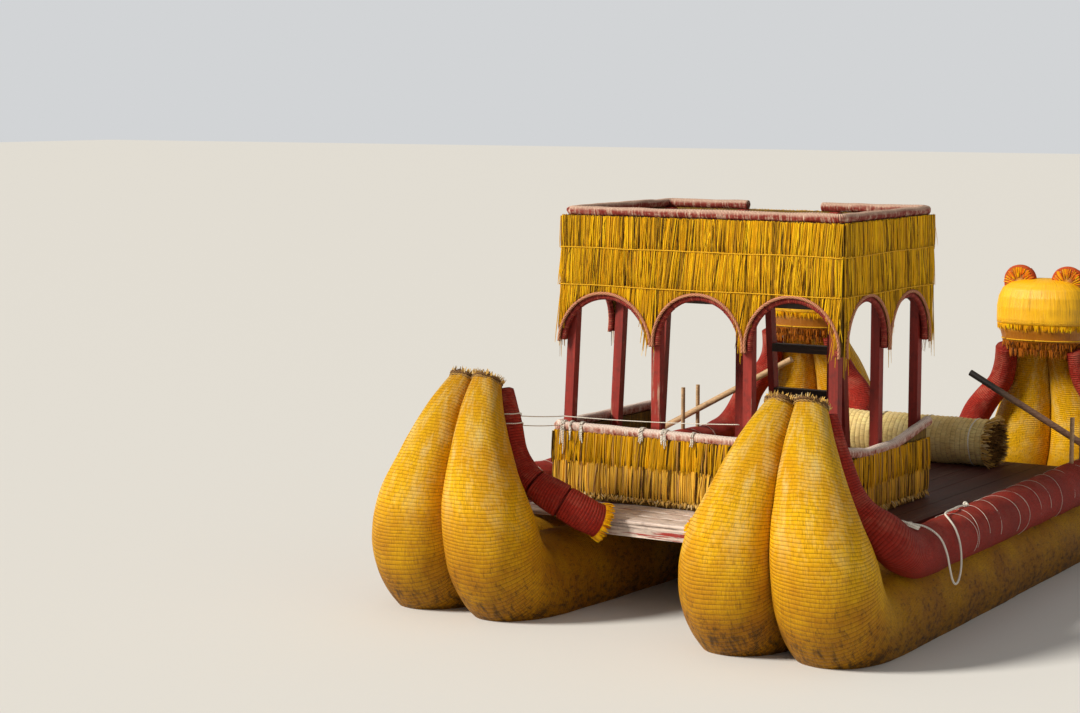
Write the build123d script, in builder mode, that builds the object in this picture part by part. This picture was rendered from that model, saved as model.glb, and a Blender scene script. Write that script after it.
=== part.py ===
"""Twin-hull reed boat with a thatched cabin and two puma-head prows.

Frame: X runs to the bow, Y to port, Z up. The origin is amidships, on the
centreline, in the plane of the water. All sizes are in millimetres.
"""
from math import cos, hypot, radians, sin, tan
import os

from build123d import *

os.makedirs("parts", exist_ok=True)

# main sizes
fit_gap = 0.3              # clearance between two touching round or soft pieces

seam_y = 1180.0            # from the centreline to the seam of one hull, amidships
toe_in = 2.07              # each hull turns in towards the bow, degrees
bundle_r = 360.0           # radius of a main reed bundle amidships
bundle_z = 160.0           # height of its centreline over the water
bundle_press = 0.945       # centre to seam over radius: the bundles press flat
straight_aft_x = -2060.0   # the main bundles run straight from here
straight_fwd_x = 1800.0    # to here
gunwale_aft_x = -1800.0    # the gunwales' straight part ends a little sooner aft
port_horn_fullness = 0.955 # the port stern is a little slimmer than the starboard one

gunwale_r = 168.0          # radius of a gunwale bundle amidships
gunwale_lean = 30.0        # how far outboard it sits on the main bundle, degrees

deck_top = 672.0           # walking surface over the water
plank_t = 30.0             # thickness of the deck planks
deck_half = 1500.0         # half width of the main deck
deck_aft_x = -2060.0       # aft edge of the transverse boards
deck_fwd_x = 1900.0        # forward edge of the deck

cabin_aft_x = -1476.0      # outer face of the aft thatch
cabin_len = 1500.0         # outside, along the boat
cabin_wid = 2250.0         # outside, across the boat, at the rim
thatch_t = 45.0            # thickness of the thatch and mats
post_w = 70.0              # square cabin posts
port_lean = 3.0            # the port side of the cabin leans out towards its foot, degrees
rim_top = 2836.0           # top of the upper rim
rim_r = 34.0               # radius of the rim roll
rail_top = 1240.0          # top of the parapet roll, aft
rail_r = 37.0              # radius of the parapet roll
arch_foot_z = 1850.0       # where two arches meet at a post
aft_rises = (355.0, 380.0, 400.0)   # crown over the feet, port to starboard, in a bay of aft_arch_bay
side_rises = (400.0, 380.0)         # crown over the feet, aft to forward, in a bay of side_arch_bay
aft_arch_bay = 750.0       # a wider or narrower bay has its arch higher or lower in proportion
side_arch_bay = 705.0      # the same along the sides
arch_roll_r = 22.0         # radius of the roll that edges an arch
foot_flat = 10.0           # half width of the blunt thatch tongue between two arches
floor_top = 2330.0         # upper deck walking surface
head_low = 1560.0          # the bow horns are cut flat here, under the puma heads

# Stations of a horn at bundle_r = 360: run past the straight part, rise over the
# centreline of the straight part, radius.
stern_horn = [
    (0.0, 0.0, 360.0),
    (-170.0, 0.0, 360.0),
    (-342.0, 34.0, 360.0),
    (-488.0, 132.0, 360.0),
    (-586.0, 278.0, 358.0),
    (-624.0, 450.0, 350.0),
    (-638.0, 660.0, 318.0),
    (-610.0, 880.0, 262.0),
    (-560.0, 1075.0, 214.0),
    (-480.0, 1280.0, 162.0),
    (-360.0, 1480.0, 107.0),
]
bow_horn = [
    (0.0, 0.0, 360.0),
    (300.0, 18.0, 358.0),
    (620.0, 115.0, 350.0),
    (835.0, 320.0, 331.0),
    (935.0, 610.0, 288.0),
    (920.0, 910.0, 238.0),
    (823.0, 1205.0, 180.0),
    (690.0, 1480.0, 134.0),
    (610.0, 1640.0, 128.0),
]
# A gunwale first runs free of the horn: run, rise, distance from the seam, radius.
# Then it lies on the horn: row of the horn, lean in degrees, play, radius.
stern_outer_free = [(-125.0, 476.0, 604.0, 164.0), (-265.0, 518.0, 600.0, 157.0),
                    (-440.0, 640.0, 548.0, 146.0)]
stern_outer_seat = [(7, 20.0, 16.0, 116.0), (9, 18.0, 34.0, 92.0), (10, 15.0, 26.0, 70.0)]
stern_inner_free = [(-225.0, 462.0, 880.0, 122.0), (-330.0, 520.0, 800.0, 122.0),
                    (-460.0, 655.0, 600.0, 120.0)]
stern_inner_seat = [(7, 20.0, 42.0, 105.0), (9, 18.0, 36.0, 90.0), (10, 15.0, 14.0, 70.0)]
bow_outer_free = [(240.0, 500.0, 603.0, 160.0), (460.0, 650.0, 575.0, 140.0),
                  (600.0, 850.0, 550.0, 118.0)]
bow_inner_free = [(90.0, 470.0, 600.0, 125.0), (300.0, 520.0, 600.0, 125.0),
                  (480.0, 680.0, 580.0, 122.0), (600.0, 850.0, 550.0, 115.0)]
bow_seat = [(6, 42.0, 12.0, 98.0), (7, 45.0, 22.0, 85.0), (8, 45.0, 14.0, 82.0)]

scale_r = bundle_r / 360.0
gunwale_k = gunwale_r / 168.0


def hull_point(x, y, z):
    """A point of the port hull (seam plane at y = 0, outboard +y) in the boat's frame."""
    c = cos(radians(toe_in))
    s = sin(radians(toe_in))
    return Vector(x * c + y * s, seam_y - x * s + y * c, z)


def hull_dir(x, y, z):
    c = cos(radians(toe_in))
    s = sin(radians(toe_in))
    return Vector(x * c + y * s, -x * s + y * c, z)


def horn_rows(table, end_x, fullness):
    """The stations in the hull's own x, z and radius."""
    rows = []
    for i, (run, rise, r) in enumerate(table):
        full = 1.0 + (fullness - 1.0) * min(1.0, max(0.0, (i - 1) / 4.0))
        rows.append((end_x + scale_r * run, bundle_z + scale_r * rise, scale_r * r * full))
    return rows


def along(points, i):
    """Direction of a centreline at one station: the first one is level."""
    if i == 0:
        return (1.0 if points[1][0] > points[0][0] else -1.0, 0.0)
    a = points[i - 1]
    b = points[min(i + 1, len(points) - 1)]
    length = hypot(b[0] - a[0], b[1] - a[1])
    return ((b[0] - a[0]) / length, (b[1] - a[1]) / length)


def station_plane(x, y, z, direction):
    """The plane across a bundle at one station."""
    return Plane(origin=hull_point(x, y, z), x_dir=hull_dir(0, 1, 0),
                 z_dir=hull_dir(direction[0], 0, direction[1]))


def gunwale_line(rows, end_x, free, seats, sign):
    """Centreline of a gunwale as x, z, y, radius: sign +1 is outboard of the seam."""
    line = []
    for run, rise, y, r in free:
        line.append((end_x + scale_r * run, bundle_z + scale_r * rise, sign * scale_r * y, r * gunwale_k))
    for row, lean, play, r in seats:
        x, z, horn_r = rows[row]
        tx, tz = along(rows, row)
        nx, nz = (-tz, tx) if end_x > 0 else (tz, -tx)
        reach = horn_r + r * gunwale_k + play
        up = reach * cos(radians(lean))
        line.append((x + nx * up, z + nz * up,
                     sign * (bundle_press * horn_r + reach * sin(radians(lean))), r * gunwale_k))
    return line


def main_bundle(sign, fullness):
    """One of the two bundles of a hull: sign +1 is outboard of the seam, -1 inboard."""
    with BuildPart() as body:
        with BuildSketch(station_plane(straight_aft_x, sign * bundle_press * bundle_r, bundle_z, (1, 0))):
            Circle(bundle_r)
        extrude(amount=straight_fwd_x - straight_aft_x)
        for rows in (horn_rows(stern_horn, straight_aft_x, fullness),
                     horn_rows(bow_horn, straight_fwd_x, 1.0)):
            for i, (x, z, r) in enumerate(rows):
                with BuildSketch(station_plane(x, sign * bundle_press * r, z, along(rows, i))):
                    Circle(r)
            loft()
        split(bisect_by=Plane(origin=hull_point(0, sign * fit_gap / 2, 0), x_dir=hull_dir(1, 0, 0),
                              z_dir=hull_dir(0, sign, 0)), keep=Keep.TOP)
        with Locations((3000, seam_y, head_low + 300)):
            Box(2000, 2000, 600, mode=Mode.SUBTRACT)
    return body


def outer_gunwale(fullness):
    reach = bundle_r + gunwale_r + fit_gap
    y0 = bundle_press * bundle_r + reach * sin(radians(gunwale_lean))
    z0 = bundle_z + reach * cos(radians(gunwale_lean))
    stern_rows = horn_rows(stern_horn, straight_aft_x, fullness)
    bow_rows = horn_rows(bow_horn, straight_fwd_x, 1.0)
    with BuildPart() as body:
        with BuildSketch(station_plane(gunwale_aft_x, y0, z0, (1, 0))):
            Circle(gunwale_r)
        extrude(amount=straight_fwd_x - gunwale_aft_x)
        for rows, end_x, free, seats in (
            (stern_rows, gunwale_aft_x, stern_outer_free, stern_outer_seat),
            (bow_rows, straight_fwd_x, bow_outer_free, bow_seat),
        ):
            line = [(end_x, z0, y0, gunwale_r)] + gunwale_line(rows, end_x, free, seats, 1)
            for i, (x, z, y, r) in enumerate(line):
                with BuildSketch(station_plane(x, y, z, along(line, i))):
                    Circle(r)
            loft()
        with Locations((3000, seam_y, head_low - fit_gap + 300)):
            Box(2000, 2000, 600, mode=Mode.SUBTRACT)
    return body


def inner_gunwale(rows, end_x, free, seats, trim_x):
    with BuildPart() as body:
        line = gunwale_line(rows, end_x, free, seats, -1)
        for i, (x, z, y, r) in enumerate(line):
            with BuildSketch(station_plane(x, y, z, along(line, i))):
                Circle(r)
        loft()
        with Locations((3000, seam_y, head_low - fit_gap + 300)):
            Box(2000, 2000, 600, mode=Mode.SUBTRACT)
        keep = Keep.TOP if end_x > 0 else Keep.BOTTOM
        split(bisect_by=Plane.YZ.offset(trim_x), keep=keep)
    return body


def mirrored(shape):
    """The starboard twin of a port piece."""
    with BuildPart() as body:
        add(shape)
        mirror(about=Plane.XZ, mode=Mode.REPLACE)
    return body


def save(shape, name):
    shape.label = name
    export_step(shape, "parts/" + name + ".step")


# the hulls
port_outer_bundle = main_bundle(1, port_horn_fullness)
port_inner_bundle = main_bundle(-1, port_horn_fullness)
starboard_outer_bundle = mirrored(main_bundle(1, 1.0).part)
starboard_inner_bundle = mirrored(main_bundle(-1, 1.0).part)
save(port_outer_bundle.part, "port_outer_bundle")
save(port_inner_bundle.part, "port_inner_bundle")
save(starboard_outer_bundle.part, "starboard_outer_bundle")
save(starboard_inner_bundle.part, "starboard_inner_bundle")

port_outer_gunwale = outer_gunwale(port_horn_fullness)
starboard_outer_gunwale = mirrored(outer_gunwale(1.0).part)
save(port_outer_gunwale.part, "port_outer_gunwale")
save(starboard_outer_gunwale.part, "starboard_outer_gunwale")

inner_bow = inner_gunwale(horn_rows(bow_horn, straight_fwd_x, 1.0), straight_fwd_x,
                          bow_inner_free, bow_seat, deck_fwd_x + fit_gap)
inner_aft_port = inner_gunwale(horn_rows(stern_horn, straight_aft_x, port_horn_fullness), gunwale_aft_x,
                               stern_inner_free, stern_inner_seat, deck_aft_x - fit_gap)
inner_aft_starboard = inner_gunwale(horn_rows(stern_horn, straight_aft_x, 1.0), gunwale_aft_x,
                                    stern_inner_free, stern_inner_seat, deck_aft_x - fit_gap)
save(inner_aft_port.part, "port_inner_gunwale_aft")
save(inner_bow.part, "port_inner_gunwale_bow")
save(mirrored(inner_aft_starboard.part).part, "starboard_inner_gunwale_aft")
save(mirrored(inner_bow.part).part, "starboard_inner_gunwale_bow")

# the puma heads
head_x = 2430.0            # centre of a head along the hull
head_rows = [              # height over the underside, depth along x, width
    (0.0, 400.0, 610.0),
    (95.0, 470.0, 690.0),
    (220.0, 540.0, 765.0),
    (345.0, 555.0, 785.0),
    (460.0, 520.0, 740.0),
    (540.0, 420.0, 620.0),
    (575.0, 290.0, 470.0),
]
ear_r = 112.0
ear_y = 205.0
ear_z = 500.0              # centre of an ear over the underside
muzzle_low = 150.0

with BuildPart() as port_puma_head:
    for h, depth, width in head_rows:
        with BuildSketch(Plane(origin=hull_point(head_x, 0, head_low + h),
                               x_dir=hull_dir(1, 0, 0), z_dir=(0, 0, 1))):
            RectangleRounded(depth, width, 0.45 * depth)
    loft()
    with BuildSketch(Plane(origin=hull_point(head_x + 150, 0, head_low + muzzle_low + 70),
                           x_dir=hull_dir(0, 1, 0), z_dir=hull_dir(1, 0, 0))):
        RectangleRounded(360, 230, 100)
    extrude(amount=235, taper=12)
with BuildPart() as port_puma_ears:
    for y in (-ear_y, ear_y):
        with BuildSketch(Plane(origin=hull_point(head_x - 40, y, head_low + ear_z),
                               x_dir=hull_dir(0, 1, 0), z_dir=hull_dir(1, 0, 0))):
            Circle(ear_r)
            with Locations((0, -ear_r)):
                Rectangle(2 * ear_r, 60)
        extrude(amount=38, both=True)
    add(port_puma_head.part, mode=Mode.SUBTRACT)
    split(bisect_by=Plane.XY.offset(head_low + 345), keep=Keep.TOP)
save(port_puma_head.part, "port_puma_head")
save(mirrored(port_puma_head.part).part, "starboard_puma_head")
save(port_puma_ears.part, "port_puma_ears")
save(mirrored(port_puma_ears.part).part, "starboard_puma_ears")

# the deck
bundle_top = bundle_z + bundle_r
beam_h = deck_top - plank_t - bundle_top - fit_gap
beam_w = 90.0
beam_x = (-1400.0, -600.0, 200.0, 1000.0, 1740.0)

with BuildPart() as deck_beams:
    for x in beam_x:
        with Locations((x, 0, bundle_top + fit_gap + beam_h / 2)):
            Box(beam_w, 2 * deck_half, beam_h)
save(deck_beams.part, "deck_beams")

plank_gap = 6.0
main_plank_count = 14
main_plank_w = (2 * deck_half + plank_gap) / main_plank_count - plank_gap
with BuildPart() as deck_planks:
    with BuildSketch(Plane.XY.offset(deck_top - plank_t)):
        with Locations(((cabin_aft_x + deck_fwd_x) / 2, 0)):
            with GridLocations(1, main_plank_w + plank_gap, 1, main_plank_count):
                Rectangle(deck_fwd_x - cabin_aft_x, main_plank_w)
    extrude(amount=plank_t)
save(deck_planks.part, "deck_planks")

aft_plank_count = 3
aft_run = cabin_aft_x - plank_gap - deck_aft_x
aft_plank_w = (aft_run + plank_gap) / aft_plank_count - plank_gap
aft_half = 1200.0
with BuildPart() as aft_deck_boards:
    with BuildSketch(Plane.XY.offset(deck_top - plank_t)):
        with Locations((deck_aft_x + aft_run / 2, 0)):
            with GridLocations(aft_plank_w + plank_gap, 1, aft_plank_count, 1):
                Rectangle(aft_plank_w, 2 * aft_half)
    extrude(amount=plank_t)
save(aft_deck_boards.part, "aft_deck_boards")

edge_h = 85.0
aft_bearer_y = 380.0
with BuildPart() as aft_edge_beam:
    with Locations((deck_aft_x + 30, 0, deck_top - plank_t - edge_h / 2)):
        Box(60, 900, edge_h)
    bearer_run = beam_x[0] - beam_w / 2 - deck_aft_x
    for y in (-aft_bearer_y, aft_bearer_y):
        with Locations((deck_aft_x + bearer_run / 2, y, deck_top - plank_t - edge_h / 2)):
            Box(bearer_run, 70, edge_h)
save(aft_edge_beam.part, "aft_edge_beam")

# the cabin frame
cabin_fwd_x = cabin_aft_x + cabin_len
cabin_mid_x = cabin_aft_x + cabin_len / 2
half_wid = cabin_wid / 2
post_top = rim_top - 2 * rim_r - fit_gap
valance_top = post_top
post_in = thatch_t + post_w / 2
aft_post_x = cabin_aft_x + post_in
fwd_post_x = cabin_fwd_x - post_in
side_post_y = half_wid - post_in
aft_bay = cabin_wid / 3
slope = tan(radians(port_lean))


def out_at(z):
    """How far the leaning port side stands out at a height."""
    return (valance_top - z) * slope


def posts(upright, leaning):
    with BuildPart() as body:
        with BuildSketch(Plane.XY.offset(deck_top)):
            with Locations(upright):
                Rectangle(post_w, post_w)
        extrude(amount=post_top - deck_top)
        with BuildSketch(Plane.XY.offset(deck_top)):
            with Locations(leaning):
                Rectangle(post_w, post_w)
        lean = Vector(0, -sin(radians(port_lean)), cos(radians(port_lean)))
        extrude(amount=(post_top - deck_top) / cos(radians(port_lean)), dir=lean)
    return body


port_foot_y = side_post_y + out_at(deck_top)
aft_posts = posts([(aft_post_x, -side_post_y), (aft_post_x, aft_bay / 2), (aft_post_x, -aft_bay / 2)],
                  [(aft_post_x, port_foot_y)])
side_posts = posts([(cabin_mid_x, -side_post_y)], [(cabin_mid_x, port_foot_y)])
forward_posts = posts([(fwd_post_x, -side_post_y), (fwd_post_x, aft_bay / 2 + 30),
                       (fwd_post_x, -aft_bay / 2)], [(fwd_post_x, port_foot_y)])
save(aft_posts.part, "aft_posts")
save(side_posts.part, "side_posts")
save(forward_posts.part, "forward_posts")

# thatch valances: flat top, one arch to a bay
foot_out = out_at(arch_foot_z)


def arch_edge(left, right, rise):
    """The arch of one bay, drawn from its right foot to its left one."""
    Line((right, arch_foot_z), (right - foot_flat, arch_foot_z))
    ThreePointArc((right - foot_flat, arch_foot_z), ((left + right) / 2, arch_foot_z + rise),
                  (left + foot_flat, arch_foot_z))
    Line((left + foot_flat, arch_foot_z), (left, arch_foot_z))


def cross_valance(x, bays):
    """Aft or forward face, drawn in y, z; its port edge follows the lean."""
    with BuildPart() as body:
        with BuildSketch(Plane(origin=(x, 0, 0), x_dir=(0, 1, 0), z_dir=(1, 0, 0))):
            with BuildLine():
                Line((-half_wid, arch_foot_z), (-half_wid, valance_top))
                Line((-half_wid, valance_top), (half_wid, valance_top))
                Line((half_wid, valance_top), (half_wid + foot_out, arch_foot_z))
                for left, right, rise in bays:
                    arch_edge(left, right, rise)
            make_face()
        extrude(amount=thatch_t)
    return body


port_rise, middle_rise, starboard_rise = (rise * aft_bay / aft_arch_bay for rise in aft_rises)
cross_bays = [(aft_bay / 2, half_wid + foot_out, port_rise), (-aft_bay / 2, aft_bay / 2, middle_rise),
              (-half_wid, -aft_bay / 2, starboard_rise)]
aft_valance = cross_valance(cabin_aft_x, cross_bays)
forward_valance = cross_valance(cabin_fwd_x - thatch_t, cross_bays)
save(aft_valance.part, "aft_valance")
save(forward_valance.part, "forward_valance")

side_len = cabin_len - 2 * thatch_t
side_bay = side_len / 2
aft_side_rise, forward_side_rise = (rise * side_bay / side_arch_bay for rise in side_rises)
side_bays = [(cabin_mid_x, cabin_mid_x + side_bay, forward_side_rise),
             (cabin_mid_x - side_bay, cabin_mid_x, aft_side_rise)]
starboard_plane = Plane(origin=(0, -half_wid, 0), x_dir=(1, 0, 0), z_dir=(0, -1, 0))
port_up = Vector(0, -sin(radians(port_lean)), cos(radians(port_lean)))
port_plane = Plane(
    origin=Vector(0, half_wid, valance_top) - port_up * (valance_top / cos(radians(port_lean))),
    x_dir=(1, 0, 0), z_dir=(0, -cos(radians(port_lean)), -sin(radians(port_lean))))


def side_valance(plane, top, thickness, foot):
    with BuildPart() as body:
        with BuildSketch(plane):
            with BuildLine():
                left = cabin_mid_x - side_len / 2
                right = cabin_mid_x + side_len / 2
                Line((left, arch_foot_z), (left, top))
                Line((left, top), (right, top))
                Line((right, top), (right, arch_foot_z))
                for a, b, rise in side_bays:
                    arch_edge(a, b, rise)
            make_face()
        extrude(amount=thickness)
    return body


port_skin = thatch_t * cos(radians(port_lean))
starboard_valance = side_valance(starboard_plane, valance_top, -thatch_t, arch_foot_z)
port_valance = side_valance(port_plane, valance_top / cos(radians(port_lean)), port_skin, arch_foot_z)
save(port_valance.part, "port_valance")
save(starboard_valance.part, "starboard_valance")

# the parapet roll runs round three sides and sags along the starboard side
rail_z = rail_top - rail_r
rail_x = aft_post_x - post_w / 2 - rail_r - fit_gap
rail_star_y = -(side_post_y + post_w / 2 + rail_r + fit_gap)
rail_port_y = side_post_y + post_w / 2 + out_at(rail_z) + rail_r + 2 * fit_gap
rail_sag = 75.0
rail_rise = 35.0
sag_x = (cabin_aft_x + 430.0, cabin_aft_x + 900.0)
with BuildPart() as parapet_roll:
    with BuildLine() as rail_route:
        FilletPolyline(
            (cabin_fwd_x, rail_port_y, rail_z),
            (rail_x, rail_port_y, rail_z),
            (rail_x, rail_star_y, rail_z - 15),
            (sag_x[0], rail_star_y, rail_z - rail_sag),
            (sag_x[1], rail_star_y, rail_z - rail_sag + 5),
            (cabin_fwd_x, rail_star_y, rail_z + rail_rise),
            radius=[rail_r + fit_gap, rail_r + fit_gap, 700, 700],
        )
    with BuildSketch(Plane(origin=rail_route.line @ 0, z_dir=rail_route.line % 0)):
        Circle(rail_r)
    sweep()
save(parapet_roll.part, "parapet_roll")

# reed mats between the deck and the roll
under = rail_r + fit_gap
aft_top = rail_z - under
with BuildPart() as aft_mat:
    with BuildSketch(Plane(origin=(cabin_aft_x, 0, 0), x_dir=(0, 1, 0), z_dir=(1, 0, 0))):
        with BuildLine():
            Polyline((-half_wid, deck_top), (half_wid + out_at(deck_top), deck_top),
                     (half_wid + out_at(aft_top), aft_top), (-half_wid, aft_top - 16), close=True)
        make_face()
    extrude(amount=thatch_t)
with BuildPart() as starboard_mat:
    with BuildSketch(starboard_plane):
        with BuildLine():
            left = cabin_mid_x - side_len / 2
            right = cabin_mid_x + side_len / 2
            Polyline((left, deck_top), (right, deck_top),
                     (right, rail_z - under + rail_rise - 12),
                     (sag_x[1], rail_z - under - rail_sag + 2),
                     (sag_x[0], rail_z - under - rail_sag - 1),
                     (left, rail_z - under - 24), close=True)
        make_face()
    extrude(amount=-thatch_t)
with BuildPart() as port_mat:
    with BuildSketch(port_plane):
        low = (deck_top + 3) / cos(radians(port_lean))
        top = (rail_z - under) / cos(radians(port_lean))
        with Locations((cabin_mid_x, (low + top) / 2)):
            Rectangle(side_len, top - low)
    extrude(amount=port_skin)
save(aft_mat.part, "aft_mat")
save(port_mat.part, "port_mat")
save(starboard_mat.part, "starboard_mat")

rail_in = thatch_t / 2
rim_z = rim_top - rim_r
rim_gap_port = 390.0
rim_gap_starboard = -240.0
with BuildPart() as rim_roll:
    with BuildLine() as rim_route:
        FilletPolyline(
            (cabin_fwd_x - rail_in, rim_gap_port, rim_z),
            (cabin_fwd_x - rail_in, half_wid - rail_in, rim_z),
            (cabin_aft_x + rail_in, half_wid - rail_in, rim_z),
            (cabin_aft_x + rail_in, -half_wid + rail_in, rim_z),
            (cabin_fwd_x - rail_in, -half_wid + rail_in, rim_z),
            (cabin_fwd_x - rail_in, rim_gap_starboard, rim_z),
            radius=50,
        )
    with BuildSketch(Plane(origin=rim_route.line @ 0, z_dir=rim_route.line % 0)):
        Circle(rim_r)
    sweep()
save(rim_roll.part, "rim_roll")


def arch_rolls(bays, plane):
    """One roll under each arch, in the middle of the thatch."""
    drop = arch_roll_r + fit_gap
    with BuildPart() as body:
        for left, right, rise in bays:
            mid = (left + right) / 2
            half = (right - left) / 2 - foot_flat
            centre_z = arch_foot_z + (rise ** 2 - half ** 2) / (2 * rise)
            reach = arch_foot_z + rise - centre_z - drop
            foot = (reach ** 2 - (arch_foot_z - centre_z) ** 2) ** 0.5
            a = plane.from_local_coords(Vector(mid - foot, arch_foot_z, 0))
            b = plane.from_local_coords(Vector(mid, centre_z + reach, 0))
            c = plane.from_local_coords(Vector(mid + foot, arch_foot_z, 0))
            with BuildLine() as route:
                ThreePointArc(a, b, c)
            with BuildSketch(Plane(origin=route.line @ 0, z_dir=route.line % 0)):
                Circle(arch_roll_r)
            sweep()
    return body


mid_skin = thatch_t / 2
aft_arch_rolls = arch_rolls(cross_bays, Plane(origin=(cabin_aft_x + mid_skin, 0, 0),
                                              x_dir=(0, 1, 0), z_dir=(1, 0, 0)))
forward_arch_rolls = arch_rolls(cross_bays, Plane(origin=(cabin_fwd_x - mid_skin, 0, 0),
                                                  x_dir=(0, 1, 0), z_dir=(1, 0, 0)))
port_arch_rolls = arch_rolls(side_bays, port_plane.offset(port_skin / 2))
starboard_arch_rolls = arch_rolls(side_bays, starboard_plane.offset(-mid_skin))
save(aft_arch_rolls.part, "aft_arch_rolls")
save(forward_arch_rolls.part, "forward_arch_rolls")
save(port_arch_rolls.part, "port_arch_rolls")
save(starboard_arch_rolls.part, "starboard_arch_rolls")

# upper deck: cross bearers at the posts, joists on them, boards on top
joist_h = 60.0
bearer_h = 90.0
bearer_w = 50.0
board_t = 25.0
board_low = floor_top - board_t
bearer_top = board_low - joist_h
inner_aft = aft_post_x + post_w / 2
inner_fwd = fwd_post_x - post_w / 2
inner_y = side_post_y - post_w / 2
with BuildPart() as floor_bearers:
    for x in (inner_aft + bearer_w / 2, inner_fwd - bearer_w / 2):
        with Locations((x, 0, bearer_top - bearer_h / 2)):
            Box(bearer_w, 2 * side_post_y + post_w, bearer_h)
with BuildPart() as floor_joists:
    joist_y = inner_y - 60
    with Locations(*[(cabin_mid_x, k * joist_y / 2, board_low - joist_h / 2) for k in (-2, -1, 0, 1, 2)]):
        Box(inner_fwd - inner_aft, 50, joist_h)
floor_count = 9
floor_step = (inner_fwd - inner_aft) / floor_count
with BuildPart() as floor_boards:
    with BuildSketch(Plane.XY.offset(board_low)):
        with Locations((cabin_mid_x, 0)):
            with GridLocations(floor_step, 1, floor_count, 1):
                Rectangle(floor_step - 6, 2 * inner_y - 20)
    extrude(amount=board_t)
save(floor_bearers.part, "floor_bearers")
save(floor_joists.part, "floor_joists")
save(floor_boards.part, "floor_boards")

# ladder from the fore deck to the gap in the rim
ladder_y = -15.0
ladder_half = 300.0        # centreline to the middle of a stile
stile_w = 50.0
stile_t = 40.0             # half depth of a stile along x
rung_d = 80.0
rung_h = 62.0
rung_step = 350.0
rung_count = 5
ladder_foot_x = 330.0
ladder_head_x = cabin_fwd_x + stile_t + 28
ladder_top_z = 2740.0
ladder_lean = (ladder_foot_x - ladder_head_x) / (ladder_top_z - deck_top)
with BuildPart() as ladder_stiles:
    for y in (ladder_y - ladder_half, ladder_y + ladder_half):
        with BuildSketch(Plane(origin=(0, y + stile_w / 2, 0), x_dir=(1, 0, 0), z_dir=(0, -1, 0))):
            with BuildLine():
                Polyline((ladder_foot_x - stile_t, deck_top), (ladder_foot_x + stile_t, deck_top),
                         (ladder_head_x + stile_t, ladder_top_z), (ladder_head_x - stile_t, ladder_top_z),
                         close=True)
            make_face()
        extrude(amount=stile_w)
with BuildPart() as ladder_rungs:
    for k in range(rung_count):
        z = deck_top + rung_step * (k + 1)
        with Locations((ladder_foot_x - ladder_lean * (z - deck_top), ladder_y, z - rung_h / 2)):
            Box(rung_d, 2 * ladder_half - stile_w, rung_h)
save(ladder_stiles.part, "ladder_stiles")
save(ladder_rungs.part, "ladder_rungs")

# a tied log of reed lies across the fore deck
log_r = 188.0
log_x = 1600.0
log_ends = (-1080.0, 920.0)
with BuildPart() as reed_log:
    with BuildSketch(Plane(origin=(log_x, log_ends[0], deck_top + log_r + fit_gap), z_dir=(0, 1, 0))):
        Circle(log_r)
    extrude(amount=log_ends[1] - log_ends[0])
save(reed_log.part, "reed_log")

# thole pegs on the outer gunwales, an oar lashed to the forward one on each side
peg_r = 17.0
peg_top = 1150.0
peg_x = (1380.0, 1620.0)
oar_r = 26.0
oar_x = peg_x[1] - peg_r - oar_r - fit_gap
oar_inboard = 1050.0       # from the peg to the end of the grip
oar_shaft = 1300.0         # from the peg to the neck of the blade
blade_len = 560.0


def gunwale_y(x):
    """Middle of the port outer gunwale amidships, in the boat's frame."""
    reach = bundle_r + gunwale_r + fit_gap
    y = bundle_press * bundle_r + reach * sin(radians(gunwale_lean))
    return seam_y - x * tan(radians(toe_in)) + y


def oar(side, pivot_z, fall):
    """A round shaft with a flat blade: fall is its slope below level going outboard, degrees."""
    run = Vector(0, side * cos(radians(fall)), -sin(radians(fall)))
    pivot = Vector(oar_x, side * gunwale_y(oar_x), pivot_z)
    with BuildPart() as body:
        with BuildSketch(Plane(origin=pivot - run * oar_inboard, x_dir=(1, 0, 0), z_dir=run)):
            Circle(oar_r)
        extrude(amount=oar_inboard + oar_shaft)
        with BuildSketch(Plane(origin=pivot + run * (oar_shaft - 70), x_dir=(1, 0, 0), z_dir=run)):
            RectangleRounded(150, 26, 12)
        extrude(amount=blade_len)
    return body


with BuildPart() as port_thole_pegs:
    for x in peg_x:
        with BuildSketch(Plane.XY.offset(bundle_z + bundle_r)):
            with Locations((x, gunwale_y(x))):
                Circle(peg_r)
        extrude(amount=peg_top - bundle_z - bundle_r)
    add(port_outer_gunwale.part, mode=Mode.SUBTRACT)
    split(bisect_by=Plane.XY.offset(720), keep=Keep.TOP)
save(port_thole_pegs.part, "port_thole_pegs")
save(mirrored(port_thole_pegs.part).part, "starboard_thole_pegs")
port_oar = oar(1, 930.0, 28.5)
starboard_oar = oar(-1, 930.0, 28.0)
save(port_oar.part, "port_oar")
save(starboard_oar.part, "starboard_oar")
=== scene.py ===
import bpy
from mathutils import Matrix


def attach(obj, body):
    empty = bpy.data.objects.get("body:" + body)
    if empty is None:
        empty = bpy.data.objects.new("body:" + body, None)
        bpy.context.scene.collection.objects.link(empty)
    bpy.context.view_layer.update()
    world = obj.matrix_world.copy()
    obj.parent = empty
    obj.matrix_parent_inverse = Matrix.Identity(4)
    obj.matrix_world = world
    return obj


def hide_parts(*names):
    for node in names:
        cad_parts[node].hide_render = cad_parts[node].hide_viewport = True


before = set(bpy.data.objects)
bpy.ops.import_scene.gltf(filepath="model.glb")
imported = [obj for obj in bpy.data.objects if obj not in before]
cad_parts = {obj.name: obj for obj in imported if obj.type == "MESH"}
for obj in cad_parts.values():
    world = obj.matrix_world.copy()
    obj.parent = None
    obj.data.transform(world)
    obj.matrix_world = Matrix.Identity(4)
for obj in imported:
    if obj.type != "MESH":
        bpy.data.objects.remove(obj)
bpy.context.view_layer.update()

import math
import random

import bmesh
import bpy
import numpy as np
from mathutils import Matrix, Vector
from mathutils import noise as field

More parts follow.
